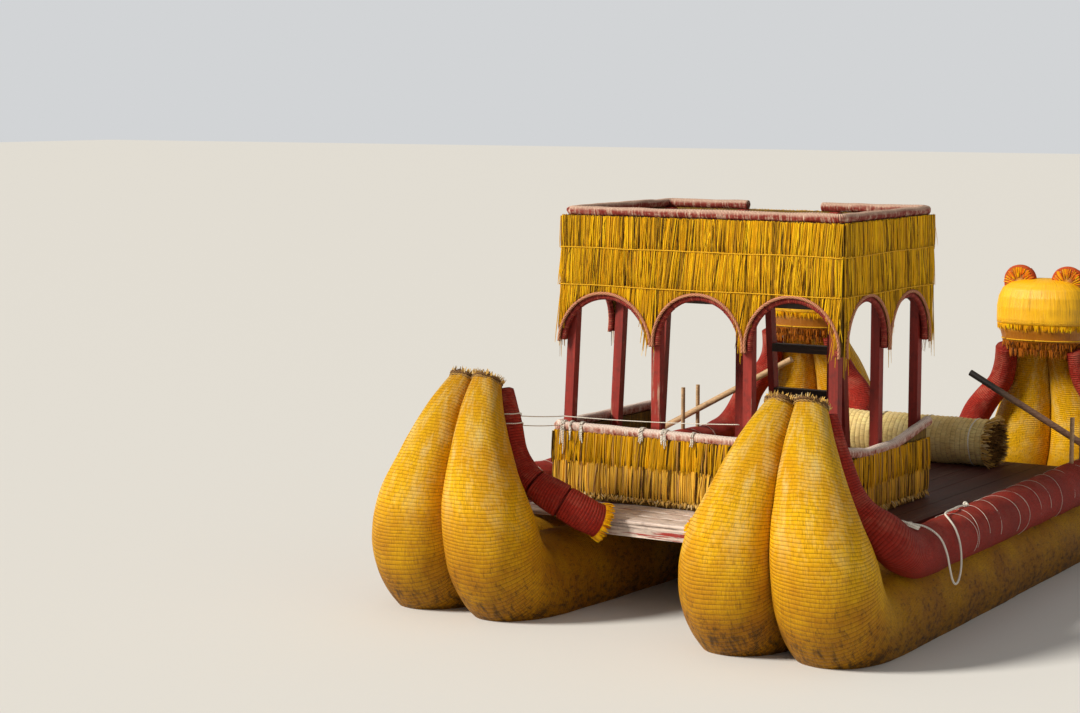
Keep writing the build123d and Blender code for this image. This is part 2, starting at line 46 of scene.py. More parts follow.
bl_info = {
    "name": "Reed boat",
    "version": (1, 0, 0),
    "blender": (4, 5, 0),
    "location": "View3D > Sidebar > Reed boat",
    "description": "Builds the finishes and fine pieces of a twin-hull reed boat",
    "category": "Object",
}

# the hull lines, in metres, as the solid model has them
SEAM_Y = 1.18
TOE_IN = math.radians(2.07)
BUNDLE_R = 0.36
BUNDLE_Z = 0.16
PRESS = 0.945
GUNWALE_R = 0.168
GUNWALE_LEAN = math.radians(30)
HEAD_LOW = 1.56
HEAD_X = 2.43
AFT_X = -2.06
FWD_X = 1.8
GUNWALE_AFT_X = -1.8
FIT_GAP = 0.0003
# a horn's stations: run past the straight part, rise over the bundle's middle, radius
STERN_HORN = [
    (0.0, 0.0, 0.36), (-0.17, 0.0, 0.36), (-0.342, 0.034, 0.36), (-0.488, 0.132, 0.36),
    (-0.586, 0.278, 0.358), (-0.624, 0.45, 0.35), (-0.638, 0.66, 0.318), (-0.61, 0.88, 0.262),
    (-0.56, 1.075, 0.214), (-0.48, 1.28, 0.162), (-0.36, 1.48, 0.107),
]
BOW_HORN = [
    (0.0, 0.0, 0.36), (0.3, 0.018, 0.358), (0.62, 0.115, 0.35), (0.835, 0.32, 0.331),
    (0.935, 0.61, 0.288), (0.92, 0.91, 0.238), (0.823, 1.205, 0.18), (0.69, 1.48, 0.134),
    (0.61, 1.64, 0.128),
]
# a gunwale's free part: run, rise, distance from the seam, radius; then where it lies on the
# horn: row of the horn, lean in degrees, play, radius
STERN_OUTER = ([(-0.125, 0.476, 0.604, 0.164), (-0.265, 0.518, 0.6, 0.157), (-0.44, 0.64, 0.548, 0.146)],
               [(7, 20.0, 0.010, 0.114), (9, 18.0, 0.012, 0.086), (10, 15.0, 0.006, 0.066)])
STERN_INNER = ([(-0.225, 0.462, 0.88, 0.122), (-0.33, 0.52, 0.8, 0.122), (-0.46, 0.655, 0.6, 0.12)],
               [(7, 20.0, 0.018, 0.102), (9, 18.0, 0.012, 0.084), (10, 15.0, 0.004, 0.066)])
BOW_SEAT = [(6, 42.0, 0.012, 0.098), (7, 45.0, 0.022, 0.085), (8, 45.0, 0.014, 0.082)]
BOW_OUTER = ([(0.24, 0.5, 0.603, 0.16), (0.46, 0.65, 0.575, 0.14), (0.6, 0.85, 0.55, 0.118)], BOW_SEAT)
BOW_INNER = ([(0.09, 0.47, 0.6, 0.125), (0.3, 0.52, 0.6, 0.125), (0.48, 0.68, 0.58, 0.122),
              (0.6, 0.85, 0.55, 0.115)], BOW_SEAT)
# side, name and fullness of the horns
HULLS = ((1, "port", 0.955), (-1, "starboard", 1.0))

# the deck and cabin, in metres
DECK_TOP = 0.672
CABIN_AFT = -1.476
CABIN_FWD = 0.024
MID_X = (CABIN_AFT + CABIN_FWD) / 2
HALF_WID = 1.125
ARCH_FOOT = 1.85
VALANCE_TOP = 2.7677
LEAN = math.tan(math.radians(3.0))
RAIL_Z = 1.203
RAIL_X = -1.4683
RIM_Z = 2.802
BAY = 0.75
FOOT_OUT = (VALANCE_TOP - ARCH_FOOT) * LEAN
CROSS_BAYS = [(BAY / 2, HALF_WID + FOOT_OUT, 0.355), (-BAY / 2, BAY / 2, 0.38),
              (-HALF_WID, -BAY / 2, 0.4)]
SIDE_BAYS = [(MID_X, MID_X + 0.705, 0.38), (MID_X - 0.705, MID_X, 0.4)]

MATH, MIX, NOISE = "ShaderNodeMath", "ShaderNodeMix", "ShaderNodeTexNoise"
RANGE, RAMP, VECTOR = "ShaderNodeMapRange", "ShaderNodeValToRGB", "ShaderNodeVectorMath"
SPLIT, CELL = "ShaderNodeSeparateXYZ", "ShaderNodeTexWhiteNoise"


def linear(code):
    """An sRGB hex colour as linear red, green, blue and one."""
    parts = [int(code[i:i + 2], 16) / 255 for i in (1, 3, 5)]
    return tuple(c / 12.92 if c <= 0.04045 else ((c + 0.055) / 1.055) ** 2.4 for c in parts) + (1.0,)


def shade(colour, factor):
    """A linear colour made darker or lighter."""
    return tuple(min(1.0, c * factor) for c in tuple(colour)[:3]) + (1.0,)


def per(mm):
    """The scale that gives a pattern one cell to that many millimetres."""
    return 1000.0 / mm


def node(tree, kind, *sources, inputs=None, stops=(), **settings):
    """Adds a node. Its settings come first. Then each source, in the order of the sockets in use, and
    each named input is linked if it is a node or a socket, and set if it is a value or a hex colour.
    Stops are the places and colours of a ramp."""
    made = tree.nodes.new(kind)
    for key, value in settings.items():
        setattr(made, key, value)
    for i, (place, colour) in enumerate(stops):
        stop = made.color_ramp.elements[i] if i < 2 else made.color_ramp.elements.new(place)
        stop.position = place
        stop.color = linear(colour) if isinstance(colour, str) else colour
    used = [socket for socket in made.inputs if socket.enabled]
    named = [(made.inputs[key], value) for key, value in (inputs or {}).items()]
    for socket, value in list(zip(used, sources)) + named:
        if isinstance(value, bpy.types.Node):
            value = next(out for out in value.outputs if out.enabled)
        if isinstance(value, bpy.types.NodeSocket):
            tree.links.new(value, socket)
        elif value is not None:
            is_code = isinstance(value, str) and value.startswith("#")
            socket.default_value = linear(value) if is_code else value
    return made


def blank(name):
    """A new material and its empty tree."""
    made = bpy.data.materials.new(name)
    made.use_nodes = True
    made.node_tree.nodes.clear()
    return made, made.node_tree


def dress(made, colour, height, depth, roughness, **more):
    """Ends a material: the shader takes the colour, and the height as relief. depth is in millimetres."""
    tree = made.node_tree
    relief = node(tree, "ShaderNodeBump", inputs={"Height": height, "Distance": depth / 1000,
                                                  "Strength": 1.0})
    coat = node(tree, "ShaderNodeBsdfPrincipled",
                inputs={"Base Color": colour, "Normal": relief, "Roughness": roughness, **more})
    node(tree, "ShaderNodeOutputMaterial", coat)
    return made


def bundle_material(name, reed, twine, age, pitch, soil_top, soil, brown, pale):
    """Totora reed bound with twine. Each turn of twine pulls in a thin groove, coloured dark as painted
    shade. Between two turns the reeds swell and show as short upright bricks of slightly different tone.
    The lower parts are browner, and water has left dark blotches, most of them near the waterline."""
    made, tree = blank(name)
    lay = node(tree, "ShaderNodeUVMap", uv_map="lay")
    at = node(tree, SPLIT, lay)
    place = node(tree, "ShaderNodeTexCoord").outputs["Object"]
    height = node(tree, SPLIT, place).outputs["Z"]
    wander = node(tree, NOISE, node(tree, VECTOR, lay, (per(350), per(900), 1.0), operation="MULTIPLY"),
                  1.0, 1.0)
    along = node(tree, MATH, wander, 0.040, at.outputs["Y"], operation="MULTIPLY_ADD")
    turns = node(tree, MATH, along, per(pitch), operation="MULTIPLY")
    turn = node(tree, MATH, turns, operation="FRACT")
    edge = node(tree, MATH, node(tree, MATH, turn, 0.5, operation="SUBTRACT"), operation="ABSOLUTE")
    slack = node(tree, NOISE, node(tree, VECTOR, lay, (per(120), per(30), 1.0), operation="MULTIPLY"),
                 1.0, 2.0)
    width = node(tree, RANGE, slack, 0.35, 0.65, 0.47, 0.40)
    groove = node(tree, RANGE, edge, width, 0.5)
    columns = node(tree, MATH, at.outputs["X"], per(9), operation="MULTIPLY")
    shifted = node(tree, MATH, node(tree, MATH, turns, operation="FLOOR"), 0.37, columns,
                   operation="MULTIPLY_ADD")
    brick = node(tree, CELL, node(tree, "ShaderNodeCombineXYZ",
                                  node(tree, MATH, shifted, operation="FLOOR"),
                                  node(tree, MATH, turns, operation="FLOOR")), noise_dimensions="2D")
    fibre = node(tree, NOISE, node(tree, VECTOR, lay, (per(4), per(60), 1.0), operation="MULTIPLY"), 1.0,
                 4.0, 0.7)
    tone = node(tree, MATH, brick, 0.13, node(tree, MATH, fibre, 0.9, operation="MULTIPLY"),
                operation="MULTIPLY_ADD")
    colour = node(tree, RAMP, tone, stops=[(0.34, shade(reed, 0.45)), (0.66, shade(reed, 1.3)),
                                           (0.49, reed)])
    broad = node(tree, NOISE, place, per(450), 4.0, 0.6)
    colour = node(tree, MIX, node(tree, RANGE, broad, 0.42, 0.66, 0.0, 0.6), colour, age,
                  data_type="RGBA")
    # broad pale patches, none below 0.45 m up and at full strength from 1.1 m up
    faded = node(tree, NOISE, node(tree, VECTOR, lay, (per(170), per(260), 1.0), operation="MULTIPLY"),
                 1.0, 6.0, 0.75)
    pale_high_up = node(tree, MATH, node(tree, RANGE, faded, 0.48, 0.68, 0.0, 0.6),
                 node(tree, RANGE, height, 0.45, 1.1), operation="MULTIPLY")
    colour = node(tree, MIX, pale_high_up, colour, pale, data_type="RGBA")
    # browner towards the bottom, with an uneven upper edge
    low = node(tree, MATH, broad, -0.7, height, operation="MULTIPLY_ADD")
    colour = node(tree, MIX, node(tree, RANGE, low, -0.15, 0.45, brown, 0.0), colour, shade(twine, 1.7),
                  data_type="RGBA")
    # the twine colour given here is dark: painted shade in the groove
    groove_shade = node(tree, MATH, groove, node(tree, RANGE, slack, 0.3, 0.6, 0.95, 0.6), operation="MULTIPLY")
    colour = node(tree, MIX, groove_shade, colour, twine, data_type="RGBA")
    blotch = node(tree, NOISE, node(tree, VECTOR, lay, (per(42), per(70), 1.0), operation="MULTIPLY"),
                  1.0, 6.0, 0.8)
    wet = node(tree, RANGE, low, soil_top - 1.0, soil_top - 0.2, 0.64, 0.36)
    dark = node(tree, RANGE, node(tree, MATH, blotch, wet, operation="ADD"), 1.045, 1.2, 0.0, soil)
    colour = node(tree, MIX, dark, colour, "#3E2A0C", data_type="RGBA")
    swell = node(tree, MATH, node(tree, MATH, turn, math.pi, operation="MULTIPLY"), operation="SINE")
    swell = node(tree, MATH, swell, 0.45, operation="POWER")
    bead = node(tree, MATH, node(tree, MATH, shifted, operation="FRACT"), math.pi, operation="MULTIPLY")
    bead = node(tree, MATH, bead, operation="SINE")
    body = node(tree, MATH, tone, 0.45, node(tree, MATH, bead, 0.35, swell, operation="MULTIPLY_ADD"),
                operation="MULTIPLY_ADD")
    return dress(made, colour, body, 7.0, 0.55, **{"Specular IOR Level": 0.2})


def straw_material(name, straw, old, dark, spread=0.8):
    """Split dry reed. Each strip has its own tone from gold to bleached tan, with fine fibres along it
    and a darker, weathered face here and there. On the thatch and the mats the darkest strips, near
    black, are painted shade of the gaps between strips."""
    made, tree = blank(name)
    tint = node(tree, "ShaderNodeAttribute", attribute_name="tint").outputs["Fac"]
    place = node(tree, "ShaderNodeTexCoord").outputs["Object"]
    fibre = node(tree, NOISE, node(tree, VECTOR, place, (per(5), per(5), per(160)), operation="MULTIPLY"),
                 1.0, 3.0, 0.65)
    broad = node(tree, NOISE, place, per(300), 3.0, 0.6)
    tone = node(tree, MATH, tint, spread, node(tree, MATH, fibre, 0.55, operation="MULTIPLY"),
                operation="MULTIPLY_ADD")
    # the ramp's dark end is painted shade of the gaps between strips
    colour = node(tree, RAMP, tone, stops=[(0.33, dark), (1.0, shade(straw, 1.4)), (0.5, straw),
                                           (0.85, straw)])
    # about one strip in six is an old, greyer one
    lot = node(tree, MATH, node(tree, MATH, tint, 41.3, operation="MULTIPLY"), operation="FRACT")
    aged = node(tree, MATH, lot, 0.84, operation="GREATER_THAN")
    colour = node(tree, MIX, node(tree, MATH, aged, 0.75, operation="MULTIPLY"), colour, old,
                  data_type="RGBA")
    colour = node(tree, MIX, node(tree, RANGE, broad, 0.45, 0.7, 0.0, 0.35), colour, shade(straw, 0.6),
                  data_type="RGBA")
    return dress(made, colour, fibre, 2.0, 0.6, **{"Specular IOR Level": 0.2})


def combed_material(name, reed):
    """Long reeds combed down over a stuffed head. They lie side by side as fine streaks from lemon to
    orange, and their waxy skin has a soft shine. Browner towards the neck: painted shade under the head."""
    made, tree = blank(name)
    lay = node(tree, "ShaderNodeUVMap", uv_map="lay")
    streak = node(tree, NOISE, node(tree, VECTOR, lay, (per(9), per(260), 1.0), operation="MULTIPLY"),
                  1.0, 4.0, 0.7)
    broad = node(tree, NOISE, node(tree, "ShaderNodeTexCoord").outputs["Object"], per(140), 3.0, 0.6)
    tone = node(tree, MATH, broad, 0.25, node(tree, MATH, streak, 0.75, operation="MULTIPLY"),
                operation="MULTIPLY_ADD")
    colour = node(tree, RAMP, tone, stops=[(0.34, shade(reed, 0.5)), (0.64, shade(reed, 1.35)),
                                           (0.44, shade(reed, 0.9)), (0.54, shade(reed, 1.08))])
    # brown where lay Y is below 0.26, towards the neck: painted shade under the head
    low = node(tree, RANGE, node(tree, SPLIT, lay).outputs["Y"], 0.14, 0.26, 0.85, 0.0)
    colour = node(tree, MIX, low, colour, "#9A500A", data_type="RGBA")
    return dress(made, colour, streak, 5.0, 0.42)


def shade_sheet_material(name, straw):
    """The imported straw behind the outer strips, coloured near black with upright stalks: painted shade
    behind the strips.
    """
    made, tree = blank(name)
    place = node(tree, "ShaderNodeTexCoord").outputs["Object"]
    fibre = node(tree, NOISE, node(tree, VECTOR, place, (per(8), per(8), per(300)), operation="MULTIPLY"),
                 1.0, 4.0, 0.7)
    colour = node(tree, RAMP, fibre, stops=[(0.35, shade(straw, 0.06)), (0.7, shade(straw, 0.45)),
                                            (0.52, shade(straw, 0.2))])
    return dress(made, colour, fibre, 6.0, 0.75)


def wound_material(name, dark, mid, pale, pale_top, pitch=11.0):
    """Cord wound tight round a roll. The turns stand up as small ridges of unlike colour, darker in the
    grooves as painted shade, and paler where they face the sky: bleaching and painted highlight
    together."""
    made, tree = blank(name)
    lay = node(tree, "ShaderNodeUVMap", uv_map="lay")
    at = node(tree, SPLIT, lay)
    slant = node(tree, MATH, at.outputs["X"], pitch / 220.0, at.outputs["Y"], operation="MULTIPLY_ADD")
    turns = node(tree, MATH, slant, per(pitch), operation="MULTIPLY")
    turn = node(tree, MATH, turns, operation="FRACT")
    ridge = node(tree, MATH, node(tree, MATH, turn, math.pi, operation="MULTIPLY"), operation="SINE")
    each = node(tree, CELL, inputs={"W": node(tree, MATH, turns, operation="FLOOR")},
                noise_dimensions="1D")
    band = node(tree, NOISE, node(tree, VECTOR, lay, (per(40), per(60), 1.0), operation="MULTIPLY"), 1.0,
                4.0, 0.65)
    tone = node(tree, MATH, each, 0.16, node(tree, MATH, band, 0.6, operation="MULTIPLY"),
                operation="MULTIPLY_ADD")
    colour = node(tree, RAMP, tone, stops=[(0.26, dark), (0.54, pale), (0.38, mid)])
    # paler on faces turned up: bleaching and painted highlight together
    up = node(tree, SPLIT, node(tree, "ShaderNodeNewGeometry").outputs["Normal"]).outputs["Z"]
    fuzz = node(tree, NOISE, node(tree, VECTOR, lay, (per(12), per(16), 1.0), operation="MULTIPLY"), 1.0,
                4.0, 0.7)
    bleached = node(tree, RANGE, node(tree, MATH, fuzz, 0.9, up, operation="MULTIPLY_ADD"), 0.5, 1.15,
                    0.0, pale_top)
    colour = node(tree, MIX, bleached, colour, pale, data_type="RGBA")
    # darker low between the turns: painted shade in the grooves
    colour = node(tree, MIX, node(tree, RANGE, ridge, 0.0, 0.55, 0.75, 0.0), colour, shade(dark, 0.25),
                  data_type="RGBA")
    grime = node(tree, RANGE, fuzz, 0.52, 0.7, 0.0, 0.5)
    colour = node(tree, MIX, grime, colour, shade(dark, 0.4), data_type="RGBA")
    return dress(made, colour, node(tree, MATH, fuzz, 0.4, ridge, operation="MULTIPLY_ADD"), 4.0, 0.75)


def paint_material(name, paint, bare, grain, wear, grime):
    """Oil paint on sawn wood. It has gone in long patches along the grain, most at edges and ends, where
    greyed wood and dirt show."""
    made, tree = blank(name)
    place = node(tree, "ShaderNodeTexCoord").outputs["Object"]
    fibre = node(tree, NOISE, node(tree, VECTOR, place, grain, operation="MULTIPLY"), 1.0, 5.0, 0.7)
    patch = node(tree, NOISE, node(tree, VECTOR, place, tuple(g * 0.16 for g in grain),
                                   operation="MULTIPLY"), 1.0, 5.0, 0.7)
    colour = node(tree, MIX, node(tree, RANGE, patch, 0.4, 0.62), shade(paint, 0.7), shade(paint, 1.25),
                  data_type="RGBA")
    worn = node(tree, MATH, fibre, 0.35, node(tree, MATH, patch, 0.65, operation="MULTIPLY"),
                operation="MULTIPLY_ADD")
    gone = node(tree, RANGE, worn, 1.0 - wear, 1.03 - wear, 0.0, 0.92)
    wood = node(tree, RAMP, fibre, stops=[(0.3, shade(bare, 0.25)), (0.6, bare)])
    colour = node(tree, MIX, gone, colour, wood, data_type="RGBA")
    dirt = node(tree, NOISE, place, per(60), 5.0, 0.75)
    colour = node(tree, MIX, node(tree, RANGE, dirt, 0.5, 0.75, 0.0, grime), colour, "#1C120C",
                  data_type="RGBA")
    body = node(tree, MATH, gone, -0.8, fibre, operation="MULTIPLY_ADD")
    return dress(made, colour, body, 1.5, 0.6)


def rope_material(name, pale, dark, strand=14.0):
    """Three strands twisted together, darker in the lay between them: painted shade, and for the red
    and pale cord also its second colour.
    """
    made, tree = blank(name)
    at = node(tree, SPLIT, node(tree, "ShaderNodeUVMap", uv_map="lay"))
    around = node(tree, MATH, at.outputs["X"], 75.0, operation="MULTIPLY")
    twist = node(tree, MATH, at.outputs["Y"], per(strand), around, operation="MULTIPLY_ADD")
    turn = node(tree, MATH, node(tree, MATH, twist, operation="FRACT"), math.pi, operation="MULTIPLY")
    ridge = node(tree, MATH, turn, operation="SINE")
    # dark in the lay between strands: painted shade
    colour = node(tree, RAMP, ridge, stops=[(0.15, dark), (0.65, pale)])
    return dress(made, colour, ridge, 2.5, 0.8)


def oar_material(name):
    """A bare pole, black with handling at the grip and paler towards the blade."""
    made, tree = blank(name)
    place = node(tree, "ShaderNodeTexCoord").outputs["Object"]
    fibre = node(tree, NOISE, node(tree, VECTOR, place, (per(11), per(160), per(11)),
                                   operation="MULTIPLY"), 1.0, 5.0, 0.7)
    out = node(tree, MATH, node(tree, SPLIT, place).outputs["Y"], operation="ABSOLUTE")
    wood = node(tree, RAMP, fibre, stops=[(0.3, "#6E4A38"), (0.65, "#B88E70")])
    colour = node(tree, MIX, node(tree, RANGE, out, 1.0, 1.45), "#1E1A18", wood, data_type="RGBA")
    return dress(made, colour, fibre, 1.5, 0.5)


def floor_material(name):
    """Plain pale matt floor."""
    made, tree = blank(name)
    node(tree, "ShaderNodeOutputMaterial", node(tree, "ShaderNodeBsdfPrincipled", "#DCDCDA",
                                                inputs={"Roughness": 0.9}))
    return made


def finish_list():
    """All finishes by name, made once, from the colours in the panel."""
    hue = bpy.context.scene.boat_colours
    red, reed, thatch, wood = (tuple(c) + (1.0,)
                               for c in (hue.red_paint, hue.reed, hue.thatch, hue.bare_wood))
    across, fore = (per(16), per(400), per(16)), (per(400), per(16), per(16))
    upright, rod = (per(16), per(16), per(260)), (per(16), per(120), per(16))
    return {
        # the twine colours below are dark, for the painted shade in the grooves
        "reed": bundle_material("bound totora reed", reed, twine=linear("#6A3C04"), age=linear("#E09400"),
                                pitch=21, soil_top=0.62, soil=0.85, brown=0.75, pale=linear("#F8E298")),
        "painted": bundle_material("bound reed under brick red paint", red, twine=shade(red, 0.1),
                                   age=shade(red, 0.55), pitch=19, soil_top=0.0, soil=0.6, brown=0.0,
                                   pale=linear("#C8705A")),
        "ear": straw_material("straw dyed orange red", linear("#E0701C"), old=linear("#F4B030"),
                              dark=linear("#B44414")),
        "head": combed_material("combed reed of the heads", reed),
        "log": bundle_material("tied pale straw", linear("#F2D590"), twine=linear("#8A6A34"),
                               age=linear("#DDB468"), pitch=42, soil_top=-1.0, soil=0.3, brown=0.0,
                               pale=linear("#FBE8B4")),
        # the near black dark of the thatch and mat reeds is painted shade of the gaps between them
        "blade": straw_material("hanging split reed", thatch, old=linear("#8A5A14"),
                                dark=linear("#2E1804"), spread=0.9),
        "strip": straw_material("split reed of the mats", shade(thatch, 0.8), old=linear("#A87C48"),
                                dark=linear("#2A1606"), spread=0.95),
        "tan_strip": straw_material("weathered reed of the mats", linear("#DAAA3A"),
                                    old=linear("#A87E50"), dark=linear("#3A200A"), spread=0.95),
        "fringe": straw_material("frayed straw", linear("#CDA556"), old=linear("#E6CFA0"),
                                 dark=linear("#6A4620")),
        "gold": straw_material("frayed golden straw", shade(reed, 1.1), old=linear("#E09A10"),
                               dark=linear("#A8600C")),
        # the brown orange of the collar is painted shade under the head
        "collar": straw_material("brown orange straw", linear("#B06410"), old=linear("#7A4210"),
                                 dark=linear("#3A1A04")),
        # dark brown: weathered straw, and on the log's ends and the gunwales' cut ends painted shade too
        "dark_straw": straw_material("weathered brown straw with painted shade", linear("#7A5628"), old=linear("#B48C50"),
                                     dark=linear("#24160A")),
        "sheet": shade_sheet_material("thatch sheet in painted shade", thatch),
        "rim": wound_material("wound faded red cord", dark=shade(red, 0.7), mid=linear("#9E4030"),
                              pale=linear("#E6C4AC"), pale_top=0.85),
        "rail": wound_material("wound red and white cord", dark=linear("#A84C3C"), mid=linear("#DDA48E"),
                               pale=linear("#FAE8DA"), pale_top=0.95),
        "arch": wound_material("wound brick red cord", dark=shade(red, 0.5), mid=shade(red, 0.9),
                               pale=linear("#B85C44"), pale_top=0.1, pitch=14.0),
        "post": paint_material("brick red paint on posts", shade(red, 0.8), bare=linear("#B48C78"),
                               grain=upright, wear=0.42, grime=0.6),
        "deck": paint_material("dark red deck paint", shade(red, 0.16), bare=linear("#5A3A30"),
                               grain=fore, wear=0.46, grime=0.8),
        "boards": paint_material("weathered boards with red paint left", shade(red, 1.3),
                                 bare=linear("#EADCCE"), grain=across, wear=0.585, grime=0.4),
        "pole": paint_material("bare weathered pole", wood, bare=shade(wood, 1.2), grain=rod, wear=0.5,
                               grime=0.4),
        # for the ladder's rungs this dark is painted shade
        "dark_wood": paint_material("dark weathered wood and painted shade", linear("#3A2A20"), bare=linear("#6A5442"),
                                    grain=across, wear=0.45, grime=0.6),
        "rope": rope_material("white cotton rope", pale=linear("#FFFBF0"), dark=linear("#B4AA94")),
        "edge": rope_material("twisted red and pale cord", pale=linear("#CC8E68"), dark=shade(red, 0.5),
                              strand=30.0),
        "braid": rope_material("braided brown straw", pale=linear("#A8803E"), dark=linear("#4A2E10"),
                               strand=30.0),
        "fringe_cord": rope_material("twisted dark straw", pale=linear("#7A5426"),
                                     dark=linear("#2E1A08"), strand=24.0),
        "stitch": rope_material("twisted straw cord", pale=shade(thatch, 1.25), dark=shade(thatch, 0.45)),
        "oar": oar_material("handled pole wood"),
    }


FINISH = {}


def finish(name):
    """A finish, made at its first use."""
    if not FINISH:
        FINISH.update(finish_list())
    return FINISH[name]


def face_outward(mesh):
    """Turns the faces of a closed mesh outward."""
    work = bmesh.new()
    work.from_mesh(mesh)
    bmesh.ops.recalc_face_normals(work, faces=work.faces)
    work.to_mesh(mesh)
    work.free()


def new_piece(name, verts, faces, coat, lay):
    """A smooth mesh object at the origin with one finish. lay has each face corner's UV in metres."""
    mesh = bpy.data.meshes.new(name)
    mesh.from_pydata([tuple(v) for v in verts], [], faces)
    layer = mesh.uv_layers.new(name="lay")
    layer.data.foreach_set("uv", np.array([uv for corners in lay for uv in corners], dtype=float).ravel())
    mesh.materials.append(finish(coat))
    face_outward(mesh)
    mesh.polygons.foreach_set("use_smooth", [True] * len(mesh.polygons))
    mesh.update()
    made = bpy.data.objects.new(name, mesh)
    bpy.context.scene.collection.objects.link(made)
    return made


def settle(piece, nodes=()):
    """The piece rides on the boat and stands for some nodes."""
    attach(piece, "root")
    if nodes:
        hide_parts(*nodes)
    return piece


def smooth_line(stations, step):
    """Points on a natural cubic through the stations, about one every step along it."""
    rows = np.array(stations, dtype=float)
    t = np.concatenate([[0.0], np.cumsum(np.linalg.norm(np.diff(rows[:, :3], axis=0), axis=1))])
    count = len(t)
    h = np.diff(t)
    system = np.eye(count)
    right = np.zeros((count, rows.shape[1]))
    for i in range(1, count - 1):
        system[i, i - 1:i + 2] = (h[i - 1], 2 * (h[i - 1] + h[i]), h[i])
        right[i] = 6 * ((rows[i + 1] - rows[i]) / h[i] - (rows[i] - rows[i - 1]) / h[i - 1])
    bend = np.linalg.solve(system, right)
    wanted = np.linspace(0, t[-1], max(2, int(round(t[-1] / step)) + 1))
    out = []
    slopes = []
    for s in wanted:
        i = min(max(int(np.searchsorted(t, s) - 1), 0), count - 2)
        a = (t[i + 1] - s) / h[i]
        b = (s - t[i]) / h[i]
        out.append(a * rows[i] + b * rows[i + 1]
                   + ((a ** 3 - a) * bend[i] + (b ** 3 - b) * bend[i + 1]) * h[i] ** 2 / 6)
        slopes.append((rows[i + 1] - rows[i]) / h[i] - (3 * a * a - 1) / 6 * h[i] * bend[i]
                      + (3 * b * b - 1) / 6 * h[i] * bend[i + 1])
    return np.array(out), np.array(slopes), wanted


def hull_to_boat(x, y, z, side):
    """A point of a hull, seam plane at y = 0 and outboard positive, in the boat's frame."""
    c, s = math.cos(TOE_IN), math.sin(TOE_IN)
    return (x * c + y * s, side * (SEAM_Y - x * s + y * c), z)


def hull_way(x, y, z, side):
    """A direction of a hull in the boat's frame."""
    return Vector(hull_to_boat(x, y, z, side)) - Vector(hull_to_boat(0, 0, 0, side))


def horn_rows(table, end_x, full=1.0):
    """The horn's stations in the hull's x, z and radius."""
    rows = []
    for i, (run, rise, r) in enumerate(table):
        k = 1.0 + (full - 1.0) * min(1.0, max(0.0, (i - 1) / 4.0))
        rows.append((end_x + run, BUNDLE_Z + rise, r * k))
    return rows


def heading(rows, i):
    """Unit direction of a centreline in x and z at a station."""
    if i == 0:
        return (1.0 if rows[1][0] > rows[0][0] else -1.0, 0.0)
    a, b = rows[i - 1], rows[min(i + 1, len(rows) - 1)]
    size = math.hypot(b[0] - a[0], b[1] - a[1])
    return ((b[0] - a[0]) / size, (b[1] - a[1]) / size)


def gunwale_rows(rows, end_x, tables, sign):
    """Stations x, y, z, radius of a gunwale: first its free run, then on the horn."""
    free, seats = tables
    line = [(end_x + run, sign * y, BUNDLE_Z + rise, r) for run, rise, y, r in free]
    for row, lean, play, r in seats:
        x, z, horn_r = rows[row]
        tx, tz = heading(rows, row)
        nx, nz = (-tz, tx) if end_x > 0 else (tz, -tx)
        reach = horn_r + r + play
        up = reach * math.cos(math.radians(lean))
        line.append((x + nx * up, sign * (PRESS * horn_r + reach * math.sin(math.radians(lean))),
                     z + nz * up, r))
    return line


def gunwale_lines(full):
    """The station rows of the outer, aft inner and bow inner gunwale of one hull."""
    stern = horn_rows(STERN_HORN, AFT_X, full)
    bow = horn_rows(BOW_HORN, FWD_X)
    reach = BUNDLE_R + GUNWALE_R + FIT_GAP
    y0, z0 = PRESS * BUNDLE_R + reach * math.sin(GUNWALE_LEAN), BUNDLE_Z + reach * math.cos(GUNWALE_LEAN)
    middle = [(x, y0, z0, GUNWALE_R) for x in np.linspace(GUNWALE_AFT_X, FWD_X, 13)]
    outer = (gunwale_rows(stern, GUNWALE_AFT_X, STERN_OUTER, 1)[::-1] + middle
             + gunwale_rows(bow, FWD_X, BOW_OUTER, 1))
    return (outer, gunwale_rows(stern, GUNWALE_AFT_X, STERN_INNER, -1),
            gunwale_rows(bow, FWD_X, BOW_INNER, -1))


def ringed(name, rings, lays, coat):
    """A closed skin through rings of equal count, with UV in metres."""
    count = len(rings[0])
    verts = [p for ring in rings for p in ring]
    faces, lay = [], []
    for i in range(len(rings) - 1):
        for k in range(count):
            j = (k + 1) % count
            faces.append((i * count + k, i * count + j, (i + 1) * count + j, (i + 1) * count + k))
            first = lays[i][j] if j else (lays[i][k][0] + 0.01, lays[i][k][1])
            second = lays[i + 1][j] if j else (lays[i + 1][k][0] + 0.01, lays[i + 1][k][1])
            lay.append([lays[i][k], first, second, lays[i + 1][k]])
    for i in (0, len(rings) - 1):
        verts.append(tuple(np.mean(np.array(rings[i]), axis=0)))
        for k in range(count):
            j = (k + 1) % count
            faces.append((i * count + k, i * count + j, len(verts) - 1))
            lay.append([lays[i][k], lays[i][j], (lays[i][k][0], lays[i][k][1] + 0.2)])
    return new_piece(name, verts, faces, coat, lay)


